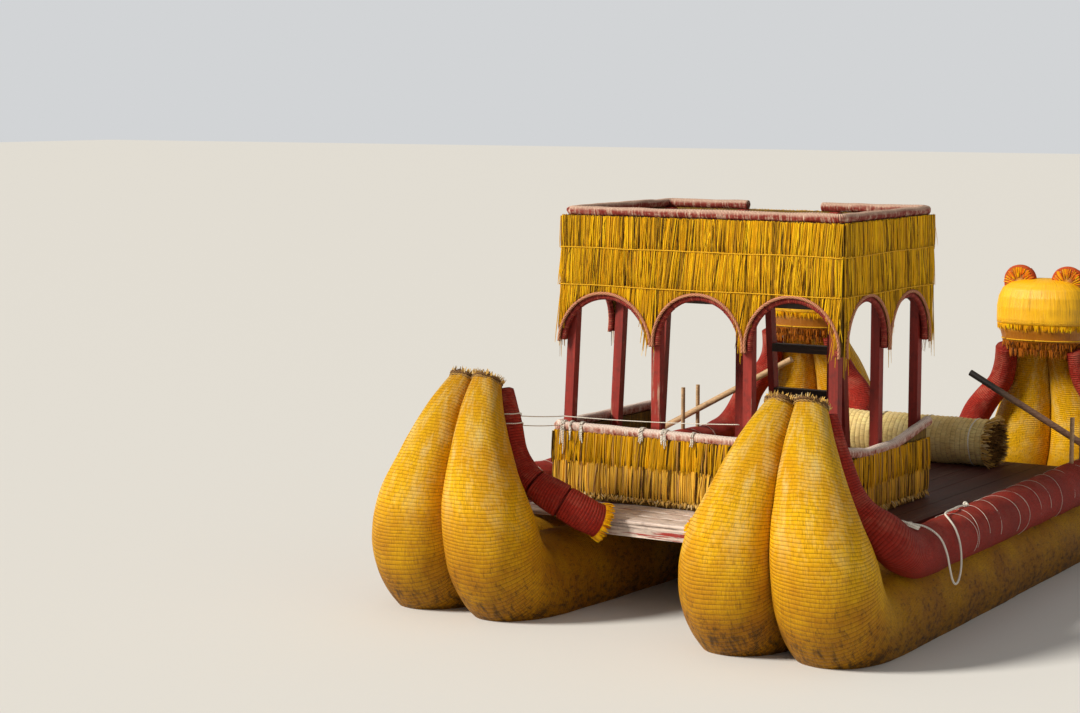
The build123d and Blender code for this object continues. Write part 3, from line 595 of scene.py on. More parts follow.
def bundle_piece(name, side, sign, full, top_z):
    """One main bundle: a slightly uneven skin round the half that lies on its own side of the seam."""
    stern = horn_rows(STERN_HORN, AFT_X, full)
    middle = [(x, BUNDLE_Z, BUNDLE_R) for x in np.linspace(AFT_X, FWD_X, 14)[1:-1]]
    stations = [(x, 0.0, z, r) for x, z, r in stern[::-1] + middle + horn_rows(BOW_HORN, FWD_X)]
    half = math.acos(-PRESS)
    rings, lays = [], []
    seed = 3.1 * side + 7.7 * sign
    for row, slope, s in zip(*smooth_line(stations, 0.027)):
        x, _, z, r = row
        if x > 0 and z > top_z:
            break
        size = math.hypot(slope[0], slope[2])
        tx, tz = slope[0] / size, slope[2] / size
        ring, lay = [], []
        for a in np.linspace(-half, half, 66):
            lump = (field.noise(Vector((s * 2.2, a * 1.3, seed))) * 0.011
                    + field.noise(Vector((s * 9, a * 5, seed))) * 0.003)
            rr = r if abs(abs(a) - half) < 0.02 else r + lump * min(1.0, r / 0.25)
            y = sign * max(PRESS * r + rr * math.cos(a), 0.0004)
            up = rr * math.sin(a)
            ring.append(hull_to_boat(x - tz * up, y, z + tx * up, side))
            lay.append((a * BUNDLE_R, s))
        rings.append(ring)
        lays.append(lay)
    return ringed(name, rings, lays, "reed")


def tube_rings(line, slopes, run, around, side=0, cut=None, lumps=0.0, swell=0.0):
    """Rings for a bundle or roll whose centre follows x, y, z and radius rows."""
    rings, lays = [], []
    for i, (row, slope, s) in enumerate(zip(line, slopes, run)):
        if cut and cut(Vector(row[:3])):
            continue
        t = Vector(slope[:3]).normalized()
        across = Vector((0, 1, 0)) if abs(t.y) < 0.8 else Vector((1, 0, 0))
        n = t.cross(across).normalized()
        b = n.cross(t).normalized()
        ring, lay = [], []
        for k in range(around):
            a = 2 * math.pi * k / around
            grow = swell * (1 if i % 2 else -1)
            if lumps:
                grow += lumps * field.noise(Vector((s * 5, math.cos(a) * 1.5 + row[1],
                                                    math.sin(a) * 1.5 + row[2])))
            p = Vector(row[:3]) + (n * math.cos(a) + b * math.sin(a)) * (row[3] + grow)
            ring.append(hull_to_boat(p.x, p.y, p.z, side) if side else tuple(p))
            lay.append((a * row[3], s))
        rings.append(ring)
        lays.append(lay)
    return rings, lays


def roll_piece(name, points, radius, coat, around=12, step=0.02, lumps=0.002, swell=0.0):
    """A round roll or rope along points."""
    rows = [tuple(p) + (radius,) for p in points]
    rings, lays = tube_rings(*smooth_line(rows, step), around, lumps=lumps, swell=swell)
    return ringed(name, rings, lays, coat)


def rounded_route(points, radius, step=0.06):
    """Points along straight runs whose corners are rounded, for rolls that are wound over a frame."""
    out = [Vector(points[0])]
    for i in range(1, len(points) - 1):
        a, b, c = Vector(points[i - 1]), Vector(points[i]), Vector(points[i + 1])
        u, v = (a - b).normalized(), (c - b).normalized()
        turn = math.pi - u.angle(v)
        if turn < 0.05:
            out.append(b)
            continue
        cut = radius * math.tan(turn / 2)
        centre = b + (u + v).normalized() * (radius / math.cos(turn / 2))
        for k in range(5):
            mix = (b + u * cut - centre).slerp(b + v * cut - centre, k / 4)
            out.append(centre + mix.normalized() * radius)
    out.append(Vector(points[-1]))
    full = [out[0]]
    for a, b in zip(out, out[1:]):
        n = max(1, int((b - a).length / step))
        full.extend(a.lerp(b, k / n) for k in range(1, n + 1))
    return full


def turned(down, out):
    """The turn that hangs a template along down with its face to out, as Euler angles."""
    z = -Vector(down).normalized()
    x = Vector(out).cross(z).normalized()
    return tuple(Matrix((x, z.cross(x), z)).transposed().to_euler())


def repeat_tree():
    """Geometry nodes that set a template on every point, sized and turned by the points' attributes."""
    name = "set on points"
    if name in bpy.data.node_groups:
        return bpy.data.node_groups[name]
    tree = bpy.data.node_groups.new(name, "GeometryNodeTree")
    for label, kind in (("Geometry", "Geometry"), ("Template", "Object"), ("Seed", "Int"),
                        ("Coat", "Material")):
        tree.interface.new_socket(label, in_out="INPUT", socket_type="NodeSocket" + kind)
    tree.interface.new_socket("Geometry", in_out="OUTPUT", socket_type="NodeSocketGeometry")
    start = node(tree, "NodeGroupInput").outputs
    shape = node(tree, "GeometryNodeObjectInfo", inputs={"Object": start["Template"]})
    size = node(tree, "GeometryNodeInputNamedAttribute", "size", data_type="FLOAT_VECTOR")
    facing = node(tree, "GeometryNodeInputNamedAttribute", "facing", data_type="FLOAT_VECTOR")
    placed = node(tree, "GeometryNodeInstanceOnPoints", inputs={
        "Points": start["Geometry"], "Instance": shape.outputs["Geometry"],
        "Rotation": node(tree, "FunctionNodeEulerToRotation", facing), "Scale": size})
    tint = node(tree, "FunctionNodeRandomValue", inputs={"Seed": start["Seed"]}, data_type="FLOAT")
    kept = node(tree, "GeometryNodeStoreNamedAttribute", placed, None, "tint", tint, domain="INSTANCE",
                data_type="FLOAT")
    real = node(tree, "GeometryNodeRealizeInstances", kept)
    coated = node(tree, "GeometryNodeSetMaterial", real, inputs={"Material": start["Coat"]})
    node(tree, "NodeGroupOutput", coated)
    return tree


def set_on_points(name, places, shape, coat, seed):
    """One plain mesh of a template at many places, each a point, a turn and a size."""
    mesh = bpy.data.meshes.new(name + "_points")
    mesh.from_pydata([tuple(p[0]) for p in places], [], [])
    for key, slot in (("facing", 1), ("size", 2)):
        layer = mesh.attributes.new(key, "FLOAT_VECTOR", "POINT")
        layer.data.foreach_set("vector", np.array([tuple(p[slot]) for p in places], dtype=float).ravel())
    carrier = bpy.data.objects.new(name + "_points", mesh)
    bpy.context.scene.collection.objects.link(carrier)
    modifier = carrier.modifiers.new("set", "NODES")
    modifier.node_group = repeat_tree()
    given = {"Template": template(shape), "Seed": seed, "Coat": finish(coat)}
    for item in modifier.node_group.interface.items_tree:
        if item.in_out == "INPUT" and item.name in given:
            modifier[item.identifier] = given[item.name]
    graph = bpy.context.evaluated_depsgraph_get()
    solid = bpy.data.meshes.new_from_object(carrier.evaluated_get(graph))
    bpy.data.objects.remove(carrier)
    solid.name = name
    made = bpy.data.objects.new(name, solid)
    bpy.context.scene.collection.objects.link(made)
    return made


TEMPLATE = {}


def template(name):
    """A small shape that the nodes repeat, one unit long, made at its first use."""
    if name in TEMPLATE:
        return TEMPLATE[name]
    if name == "blade":
        # a split reed hangs down -Z: flat back, folded along its rib, its tip narrow
        rows = [(0.0, 1.0, 0.0), (-0.35, 1.0, 0.2), (-0.75, 0.95, 0.1), (-1.0, 0.45, -0.2)]
        ring = [(-0.5, 0.0), (0.5, 0.0), (0.1, 0.6)]
    else:
        # a cut stalk hangs down -Z, a little crooked
        rows = [(0.0, 1.0, 0.0), (-0.5, 0.9, 0.1), (-1.0, 0.6, -0.1)]
        ring = [(0.5 * math.cos(a), 0.5 * math.sin(a)) for a in (0.3, 1.87, 3.44, 5.01)]
    count = len(ring)
    verts = [(x * wide, y * wide + bow, z) for z, wide, bow in rows for x, y in ring]
    faces = [(i * count + k, i * count + (k + 1) % count, (i + 1) * count + (k + 1) % count,
              (i + 1) * count + k)
             for i in range(len(rows) - 1) for k in range(count)]
    faces += [tuple(reversed(range(count))), tuple(range(len(verts) - count, len(verts)))]
    mesh = bpy.data.meshes.new(name)
    mesh.from_pydata(verts, [], faces)
    face_outward(mesh)
    TEMPLATE[name] = bpy.data.objects.new(name, mesh)
    return TEMPLATE[name]


def frill(rng, centre, axis, radius, count, length, flare, wide, depth=0.0):
    """Places for straws that stand round a cut end and point along its axis, spread outwards by flare.
    depth fills the ring inwards."""
    axis = Vector(axis).normalized()
    first = axis.cross(Vector((0, 0, 1)) if abs(axis.z) < 0.9 else Vector((0, 1, 0))).normalized()
    second = axis.cross(first)
    places = []
    for _ in range(count):
        a = rng.uniform(0, 2 * math.pi)
        out = first * math.cos(a) + second * math.sin(a)
        reach = radius * (1.0 - depth * rng.random() ** 1.5)
        spot = Vector(centre) + out * reach
        lean = axis + out * (flare * rng.uniform(0.0, 1.4))
        lean += Vector([rng.gauss(0, 0.09) for _ in range(3)])
        w = wide * rng.uniform(0.7, 1.3)
        places.append((tuple(spot), turned(lean, out), (w, w, length * rng.uniform(0.55, 1.25))))
    return places


def arch_circle(left, right, rise):
    """The middle and half width of an arch, with its circle's radius and height."""
    mid, half = (left + right) / 2, (right - left) / 2 - 0.01
    radius = (half * half + rise * rise) / (2 * rise)
    return mid, half, radius, ARCH_FOOT + rise - radius


def arch_low(u, bays):
    """Height of the arched lower edge of the thatch at a place along a face."""
    for left, right, rise in bays:
        if left <= u <= right:
            mid, half, radius, centre = arch_circle(left, right, rise)
            if abs(u - mid) >= half:
                return ARCH_FOOT
            return centre + math.sqrt(max(0.0, radius * radius - (u - mid) ** 2))
    return ARCH_FOOT


def face_point(face, u, z, out):
    """A point on a face of the cabin, u along it, z up and out from the thatch."""
    return {
        "aft": (CABIN_AFT - out, u, z),
        "forward": (CABIN_FWD + out, u, z),
        "starboard": (u, -HALF_WID - out, z),
        "port": (u, HALF_WID + (VALANCE_TOP - z) * LEAN + out, z),
    }[face]


# the way out of each face, the way along it, and the bays of its arches
FACES = {
    "aft": (Vector((-1, 0, 0)), Vector((0, 1, 0)), CROSS_BAYS),
    "forward": (Vector((1, 0, 0)), Vector((0, 1, 0)), CROSS_BAYS),
    "starboard": (Vector((0, -1, 0)), Vector((1, 0, 0)), SIDE_BAYS),
    "port": (Vector((0, 1, 0)), Vector((1, 0, 0)), SIDE_BAYS),
}
POST_SPOTS = {"aft": (-1.11, -0.375, 0.375, 1.14), "forward": (-1.11, -0.375, 0.405, 1.14),
              "starboard": (-1.46, MID_X, 0.01), "port": (-1.46, MID_X, 0.01)}


def tongue_at(face, u, reach=0.085):
    """One beside a post, where the thatch hangs lower in a tongue, and nothing between posts."""
    return max(0.0, 1.0 - min(abs(u - spot) for spot in POST_SPOTS[face]) / reach)


def courses(rng, face, layers, u0, u1, spacing, low_at, widths, hang=0.0):
    """Places for strips in overlapping courses. A layer has its top, its drop and how far out it lies.
    The lowest course ends at low_at, with tongues that hang lower beside the posts."""
    out, along, _ = FACES[face]
    rest = Vector((0, LEAN if face == "port" else 0, -1))
    places = []
    for top, drop, push in layers:
        count = int((u1 - u0) / spacing)
        for i in range(count):
            u = u0 + (i + rng.uniform(0.05, 0.95)) * (u1 - u0) / count
            head = top + rng.uniform(-0.007, 0.007)
            length = drop * rng.uniform(0.95, 1.05)
            if drop > 0.5 or head - length < low_at(u) + 0.06:
                length = head - low_at(u) + rng.uniform(-0.022, 0.006)
                length += hang * rng.random() ** 1.6 * tongue_at(face, u)
            if length < 0.05:
                continue
            lean = 0.14 * field.noise(Vector((u * 2.6, top * 4.0, 3.0))) + 0.075 + rng.gauss(0, 0.045)
            if rng.random() < 0.05:
                lean += rng.uniform(-0.25, 0.25)
            wide = rng.uniform(*widths)
            down = rest + along * lean + out * rng.gauss(0.0, 0.008)
            facing = out + along * rng.gauss(0.0, 0.45)
            places.append((face_point(face, u, head, push + rng.uniform(0.0, 0.010)),
                           turned(down, facing), (wide, wide * 0.7, length)))
    return places


def coat_node(name, coat):
    """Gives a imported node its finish."""
    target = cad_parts[name]
    target.data.materials.clear()
    target.data.materials.append(finish(coat))


def worn_plank(name, corner, size, coat, rng):
    """A board along Y whose edges are chipped and whose face has dried uneven."""
    x0, y0, z0 = corner
    wide, length, thick = size
    lip = 0.005
    outline = [(lip, 0.0), (wide - lip, 0.0), (wide, lip), (wide, thick - lip), (wide - lip, thick),
               (wide * 0.75, thick), (wide * 0.5, thick), (wide * 0.25, thick), (lip, thick),
               (0.0, thick - lip), (0.0, lip)]
    seed = rng.uniform(0, 50)
    rings, lays = [], []
    for y in np.linspace(0.0, length, int(length / 0.02)):
        ring = []
        for i, (x, z) in enumerate(outline):
            chip = max(0.0, field.noise(Vector((y * 9, i * 0.37, seed))) - 0.15) * 0.03
            sink = chip if z > thick / 2 else 0.0
            side = chip if x < wide / 2 else -chip
            ring.append((x0 + x + (side if i not in (5, 6, 7) else 0.0), y0 + y, z0 + z - sink * 0.5))
        rings.append(ring)
        lays.append([(0.02 * k, y) for k in range(len(outline))])
    return ringed(name, rings, lays, coat)


class BoatSizes(bpy.types.PropertyGroup):
    """Sizes and seeds that a user may change."""
    strip_gap: bpy.props.FloatProperty(name="Reed spacing",
                                       description="Distance between hanging reeds of the cabin",
                                       default=0.0052, min=0.003, unit="LENGTH")
    mat_gap: bpy.props.FloatProperty(name="Mat spacing",
                                     description="Distance between the wide reeds of the mats",
                                     default=0.0095, min=0.004, unit="LENGTH")
    seed: bpy.props.IntProperty(name="Seed", description="Seed of everything that varies", default=12)
    straws: bpy.props.IntProperty(name="Straws", description="Straws round one cut end", default=150,
                                  min=8)
    floor_side: bpy.props.FloatProperty(name="Floor", description="Side of the floor", default=240.0,
                                        unit="LENGTH")


class BoatColours(bpy.types.PropertyGroup):
    """Colours that a user may change."""
    reed: bpy.props.FloatVectorProperty(name="Reed", description="Reed of the bundles and heads",
                                        subtype="COLOR", default=linear("#F2B400")[:3])
    red_paint: bpy.props.FloatVectorProperty(name="Red paint", description="Paint of gunwales and posts",
                                             subtype="COLOR", default=linear("#A3281A")[:3])
    thatch: bpy.props.FloatVectorProperty(name="Thatch", description="Hanging reed of the cabin",
                                          subtype="COLOR", default=linear("#EAB00A")[:3])
    bare_wood: bpy.props.FloatVectorProperty(name="Bare wood", description="Poles and pegs",
                                             subtype="COLOR", default=linear("#BE9A70")[:3])


class BOAT_OT_bundles(bpy.types.Operator):
    """Builds the four main reed bundles"""
    bl_idname = "boat.bundles"
    bl_label = "Main bundles"

    def execute(self, context):
        for side, word, full in HULLS:
            for sign, place in ((1, "outer"), (-1, "inner")):
                piece = bundle_piece(f"{word}_{place}_reeds", side, sign, full, HEAD_LOW + 0.04)
                settle(piece, [f"{word}_{place}_bundle"])
        return {"FINISHED"}


# where the inner gunwales are cut off, aft and at the bow
INNER_AFT_CUT, INNER_BOW_CUT = -2.085, 1.93


class BOAT_OT_gunwales(bpy.types.Operator):
    """Builds the painted gunwale bundles and the straw that shows at their cut ends"""
    bl_idname = "boat.gunwales"
    bl_label = "Gunwales"

    def execute(self, context):
        sizes = context.scene.boat_sizes
        rng = random.Random(sizes.seed + 3)
        for side, word, full in HULLS:
            outer, aft_in, bow_in = gunwale_lines(full)
            for rows, part, nodes, around, cut in (
                (outer, "outer_gunwale_reeds", "outer_gunwale", 36,
                 lambda p: p.x > 0 and p.z > HEAD_LOW + 0.02),
                (aft_in, "aft_inner_gunwale_reeds", "inner_gunwale_aft", 32,
                 lambda p: p.x > INNER_AFT_CUT),
                (bow_in, "bow_inner_gunwale_reeds", "inner_gunwale_bow", 32,
                 lambda p: p.z > HEAD_LOW + 0.02 or p.x < INNER_BOW_CUT),
            ):
                rings, lays = tube_rings(*smooth_line(rows, 0.017), around, side, cut, lumps=0.009)
                settle(ringed(f"{word}_{part}", rings, lays, "painted"),
                       [f"{word}_{nodes}"])
                if part.startswith("outer"):
                    continue
                # the yellow inside of the bundle sticks out round the cut
                first, second = (Vector(np.mean(np.array(ring), axis=0)) for ring in rings[:2])
                axis = (first - second).normalized()
                radius = (Vector(rings[0][0]) - first).length
                ring = frill(rng, first - axis * 0.02, axis, radius + 0.002, sizes.straws * 2,
                             length=0.055, flare=0.28, wide=0.009)
                # the dark core of the cut end is partly painted shade
                core = frill(rng, first - axis * 0.01, axis, radius * 0.9, sizes.straws, length=0.02,
                             flare=0.0, wide=0.011, depth=0.95)
                settle(set_on_points(f"{word}_{part}_frill", ring, "blade", "gold", sizes.seed))
                settle(set_on_points(f"{word}_{part}_core", core, "stalk", "dark_straw", sizes.seed))
        return {"FINISHED"}


# the cords round a stern tip: height past the tip, radius, finish
TIP_CORDS = ((-0.018, 0.010, "braid"), (0.001, 0.011, "fringe_cord"))


class BOAT_OT_tips(bpy.types.Operator):
    """Binds and frays the stern tips of the bundles"""
    bl_idname = "boat.tips"
    bl_label = "Stern tips"

    def execute(self, context):
        sizes = context.scene.boat_sizes
        rng = random.Random(sizes.seed + 1)
        for side, word, full in HULLS:
            stern = horn_rows(STERN_HORN, AFT_X, full)
            x, z, r = stern[-1]
            tx, tz = heading(stern, len(stern) - 1)
            axis = hull_way(tx, 0, tz, side)
            core, crown = [], []
            for sign, place in ((1, "outer"), (-1, "inner")):
                middle = Vector(hull_to_boat(x, sign * PRESS * r, z, side))
                core += frill(rng, middle - axis * 0.03, axis, r * 0.86, sizes.straws * 2,
                              length=0.055, flare=0.1, wide=0.010, depth=1.0)
                crown += frill(rng, middle - axis * 0.012, axis, r * 0.97, sizes.straws, length=0.05,
                               flare=0.55, wide=0.008, depth=0.12)
                for lift, thick, coat in TIP_CORDS:
                    loop = []
                    for k in range(29):
                        a = 2 * math.pi * k / 28
                        rr = r + 0.003 + 0.004 * math.sin(5 * a + side + sign)
                        y = sign * max(PRESS * r + rr * math.cos(a), 0.004)
                        up = rr * math.sin(a)
                        along, high = x - tz * up + tx * lift, z + tx * up + tz * lift
                        loop.append(hull_to_boat(along, y, high, side))
                    settle(roll_piece(f"{word}_{place}_tip_{coat}", loop, thick, coat, around=10,
                                      step=0.010, lumps=0.010, swell=0.002))
            settle(set_on_points(f"{word}_tip_core", core, "stalk", "dark_straw", sizes.seed))
            settle(set_on_points(f"{word}_tip_crown", crown, "blade", "fringe", sizes.seed + 1))
        return {"FINISHED"}


# the thatch's layers of reeds: top, drop and distance out; and the heights of its two seams
VALANCE_LAYERS = [(2.263, 0.6, 0.004), (2.263, 0.6, 0.009), (2.539, 0.282, 0.006), (2.539, 0.282, 0.011),
                  (2.766, 0.236, 0.008), (2.766, 0.236, 0.013)]
SEAMS = (2.535, 2.26)


class BOAT_OT_thatch(bpy.types.Operator):
    """Hangs the reeds of the cabin in stitched courses"""
    bl_idname = "boat.thatch"
    bl_label = "Thatch"

    def execute(self, context):
        sizes = context.scene.boat_sizes
        rng = random.Random(sizes.seed)
        for face, (_, _, bays) in FACES.items():
            u0, u1 = (-1.135, 1.147) if bays is CROSS_BAYS else (CABIN_AFT, CABIN_FWD)
            places = courses(rng, face, VALANCE_LAYERS, u0, u1, sizes.strip_gap,
                             lambda u: arch_low(u, bays), widths=(0.0045, 0.0095), hang=0.17)
            settle(set_on_points(f"{face}_valance_reeds", places, "blade", "blade",
                                 sizes.seed + len(face)))
            for k, z in enumerate(SEAMS):
                run = [face_point(face, u, z + 0.011 * field.noise(Vector((u * 2.3, z * 9, 1.7))), 0.023)
                       for u in np.linspace(u0, u1, int((u1 - u0) / 0.08) + 2)]
                settle(roll_piece(f"{face}_valance_stitch_{k + 1}", run, 0.0038, "stitch", around=6,
                                  step=0.03, lumps=0.001))
            # the sheet behind the reeds is near black: painted shade
            coat_node(f"{face}_valance", "sheet")
        return {"FINISHED"}


# face, its two ends, and how much lower its mat hangs
MATS = (("aft", -1.125, 1.212, 0.0), ("starboard", -1.44, 0.0, 0.055), ("port", -1.44, 0.0, 0.0))
# heights where the two courses of a mat start, and the distance between the curls at its foot
MAT_LOW, MAT_TOP = 0.952, 1.172
CURL_GAP = 0.006


def mat_foot(u):
    """Height of the lower edge of a mat at a place along a face."""
    return DECK_TOP + 0.045 + 0.012 * field.noise(Vector((u * 7, 4.0, 2.0)))


class BOAT_OT_mats(bpy.types.Operator):
    """Hangs the wide reeds of the low mats and the curled ends at their foot"""
    bl_idname = "boat.mats"
    bl_label = "Mats"

    def execute(self, context):
        sizes = context.scene.boat_sizes
        rng = random.Random(sizes.seed + 2)
        for face, u0, u1, sunk in MATS:
            out, along, _ = FACES[face]
            low, top = MAT_LOW - sunk, MAT_TOP - sunk
            layers = [(low, 0.6, 0.004), (low, 0.6, 0.010), (top, 0.235, 0.010), (top, 0.235, 0.016)]
            for part, rows, coat in (("low", layers[:2], "tan_strip"), ("top", layers[2:], "strip")):
                places = courses(rng, face, rows, u0, u1, sizes.mat_gap, mat_foot, (0.010, 0.019))
                settle(set_on_points(f"{face}_mat_{part}_reeds", places, "blade", coat,
                                     sizes.seed + len(face)))
            curls = []
            for i in range(int((u1 - u0) / CURL_GAP)):
                u = u0 + CURL_GAP * (i + rng.random())
                down = Vector((0, 0, -1)) + out * rng.uniform(-0.2, 0.9) + along * rng.gauss(0, 0.7)
                spot = face_point(face, u, DECK_TOP + rng.uniform(0.035, 0.06), rng.uniform(0.002, 0.016))
                curls.append((spot, turned(down, out), (0.011, 0.007, rng.uniform(0.025, 0.042))))
            settle(set_on_points(f"{face}_mat_curls", curls, "blade", "fringe", sizes.seed + 4))
            # the sheet behind the mat reeds is near black: painted shade
            coat_node(f"{face}_mat", "sheet")
        return {"FINISHED"}


# the wound rolls: the rail's places to port and starboard, how far in the rim lies, and their radii
RAIL_PORT, RAIL_STAR = 1.197, -1.1173
RIM_IN = 0.0225
RAIL_R, RIM_R, ARCH_R, EDGE_R = 0.0372, 0.0335, 0.0222, 0.0115


def arch_run(face, mid, centre, radius, foot, out, count):
    """Points along an arch from foot to foot."""
    span = math.acos(max(-1.0, min(1.0, (foot - centre) / radius)))
    return [face_point(face, mid + radius * math.sin(a), centre + radius * math.cos(a), out)
            for a in np.linspace(-span, span, count)]


class BOAT_OT_rolls(bpy.types.Operator):
    """Winds the rim, the parapet roll and the arch edges"""
    bl_idname = "boat.rolls"
    bl_label = "Wound rolls"

    def execute(self, context):
        rail = rounded_route([
            (CABIN_FWD, RAIL_PORT, RAIL_Z), (RAIL_X, RAIL_PORT, RAIL_Z),
            (RAIL_X, RAIL_STAR, RAIL_Z - 0.015), (CABIN_AFT + 0.43, RAIL_STAR, RAIL_Z - 0.075),
            (CABIN_AFT + 0.9, RAIL_STAR, RAIL_Z - 0.07), (CABIN_FWD, RAIL_STAR, RAIL_Z + 0.035)], 0.0373)
        settle(roll_piece("parapet_winding", rail, RAIL_R, "rail", around=16, step=0.011, lumps=0.005,
                          swell=0.0009), ["parapet_roll"])
        fwd, aft, wing = CABIN_FWD - RIM_IN, CABIN_AFT + RIM_IN, HALF_WID - RIM_IN
        rim = rounded_route([(fwd, 0.39, RIM_Z), (fwd, wing, RIM_Z), (aft, wing, RIM_Z),
                             (aft, -wing, RIM_Z), (fwd, -wing, RIM_Z), (fwd, -0.24, RIM_Z)], 0.05)
        settle(roll_piece("rim_winding", rim, RIM_R, "rim", around=16, step=0.011, lumps=0.007,
                          swell=0.0009), ["rim_roll"])
        for face, (_, _, bays) in FACES.items():
            for k, bay in enumerate(bays):
                mid, _, radius, centre = arch_circle(*bay)
                under = arch_run(face, mid, centre, radius - 0.0235, ARCH_FOOT, -0.012, 15)
                nodes = [f"{face}_arch_rolls"] if k == 0 else []
                settle(roll_piece(f"{face}_arch_winding_{k + 1}", under, ARCH_R, "arch", around=12,
                                  step=0.014, lumps=0.003), nodes)
                edge = arch_run(face, mid, centre, radius + 0.001, ARCH_FOOT - 0.012, 0.019, 19)
                settle(roll_piece(f"{face}_arch_edge_{k + 1}", edge, EDGE_R, "edge", around=10,
                                  step=0.012, lumps=0.002))
        return {"FINISHED"}


# a head's outline: height over its foot, depth along the hull, width across
HEAD_ROWS = [(-0.012, 0.30, 0.50), (0.0, 0.40, 0.60), (0.06, 0.46, 0.675), (0.15, 0.52, 0.735),
             (0.25, 0.555, 0.775), (0.345, 0.56, 0.785), (0.43, 0.54, 0.755), (0.5, 0.48, 0.69),
             (0.548, 0.38, 0.56), (0.57, 0.25, 0.38), (0.578, 0.1, 0.16)]
# the heights of its two ties over its foot
HEAD_TIES = (0.06, 0.21)
# an ear: its middle on the hull, half width and half height, then depth and share of size by row
EAR_MID = (2.39, 0.202, HEAD_LOW + 0.525)
EAR_WIDE, EAR_TALL = 0.118, 0.128
EAR_ROWS = ((-0.040, 0.80), (-0.040, 0.92), (-0.024, 1.0), (0.022, 1.0), (0.034, 0.90), (0.018, 0.74),
            (0.008, 0.5))
# a dome's rows: share of its width, share of its depth
DOME_ROWS = ((1.0, -0.3), (1.0, 0.2), (0.86, 0.7), (0.5, 0.95), (0.08, 1.0))


def head_point(side, h, a, grow=0.0):
    """A point of the head's skin at a height and an angle from straight ahead."""
    heights, deeps, wides = zip(*HEAD_ROWS)
    c, s = math.cos(a), math.sin(a)
    px = (float(np.interp(h, heights, deeps)) / 2 + grow) * math.copysign(abs(c) ** 0.85, c)
    py = (float(np.interp(h, heights, wides)) / 2 + grow) * math.copysign(abs(s) ** 0.85, s)
    if c > 0:
        muzzle = math.exp(-((py / 0.17) ** 4)) * math.exp(-(((h - 0.2) / 0.11) ** 4))
        brow = math.exp(-(((abs(py) - 0.13) / 0.08) ** 2)) * math.exp(-(((h - 0.42) / 0.05) ** 2))
        px += 0.17 * muzzle + 0.03 * brow
    return Vector(hull_to_boat(HEAD_X + px, py, HEAD_LOW + h, side))


def head_piece(name, side):
    """A head of reeds combed down in three tiers, each tier's foot standing out over the next."""
    rings, lays = [], []
    heights = [-0.012, 0.0] + list(np.linspace(0.02, 0.578, 50))
    for h in heights:
        tier = sum(1 for tie in HEAD_TIES if h > tie)
        low = ([0.0] + list(HEAD_TIES))[tier]
        grow = 0.007 * tier - 0.010 + 0.010 * math.exp(-(h - low) / 0.05)
        ring, lay = [], []
        for k in range(72):
            a = 2 * math.pi * k / 72
            rough = 0.003 * field.noise(Vector((a * 9, h * 3, 2.0 * side)))
            lift = (min(grow, 0.0) if h > 0.5 else grow) + rough
            ring.append(tuple(head_point(side, h, a, lift)))
            lay.append((a * 0.36, h))
        rings.append(ring)
        lays.append(lay)
    return ringed(name, rings, lays, "head")


def dome(name, centre, across, up, out, radius, tall, thick, coat):
    """A low dome for an eye, a pupil or a nose."""
    angles = [2 * math.pi * k / 20 for k in range(20)]
    rings = [[tuple(centre + across * (radius * g * math.cos(a)) + up * (tall * g * math.sin(a))
                    + out * (thick * lift)) for a in angles]
             for g, lift in DOME_ROWS]
    return ringed(name, rings, [[(0.02 * k, 0.01 * i) for k in range(20)] for i in range(len(rings))],
                  coat)


def head_straw(rng, side, fwd, port, low, length, count):
    """Places for the straws that hang from a height all round a head."""
    places = []
    for _ in range(count):
        a = rng.uniform(-math.pi, math.pi)
        h = low + rng.uniform(-0.004, 0.012)
        spot = head_point(side, h, a, 0.004)
        below = head_point(side, max(0.0, h - 0.05), a, 0.008)
        down = (below - spot).normalized() if h > 0.06 else Vector((0, 0, -1))
        face = fwd * math.cos(a) + port * math.sin(a)
        lean = down + face * rng.uniform(0.0, 0.1) + port * rng.gauss(0, 0.08)
        places.append((tuple(spot), turned(lean, face),
                       (rng.uniform(0.006, 0.012), 0.007, length * rng.uniform(0.35, 1.4))))
    return places


def ear_outline():
    """An ear from ahead: a little egg-shaped, open at its foot."""
    outline = []
    for k in range(26):
        a = math.radians(-40 + 260 * k / 25)
        outline.append((EAR_WIDE * math.cos(a) * (1.0 + 0.10 * math.sin(a)),
                        EAR_TALL * math.sin(a) + (0.018 if math.sin(a) > 0 else 0.0)))
    return outline


def ear_point(side, sign, x, y, z, grow):
    """A point of an ear in the boat's frame, y and z from its middle times grow."""
    mid_x, mid_y, mid_z = EAR_MID
    return hull_to_boat(mid_x + x, sign * mid_y + y * grow, mid_z + z * grow, side)


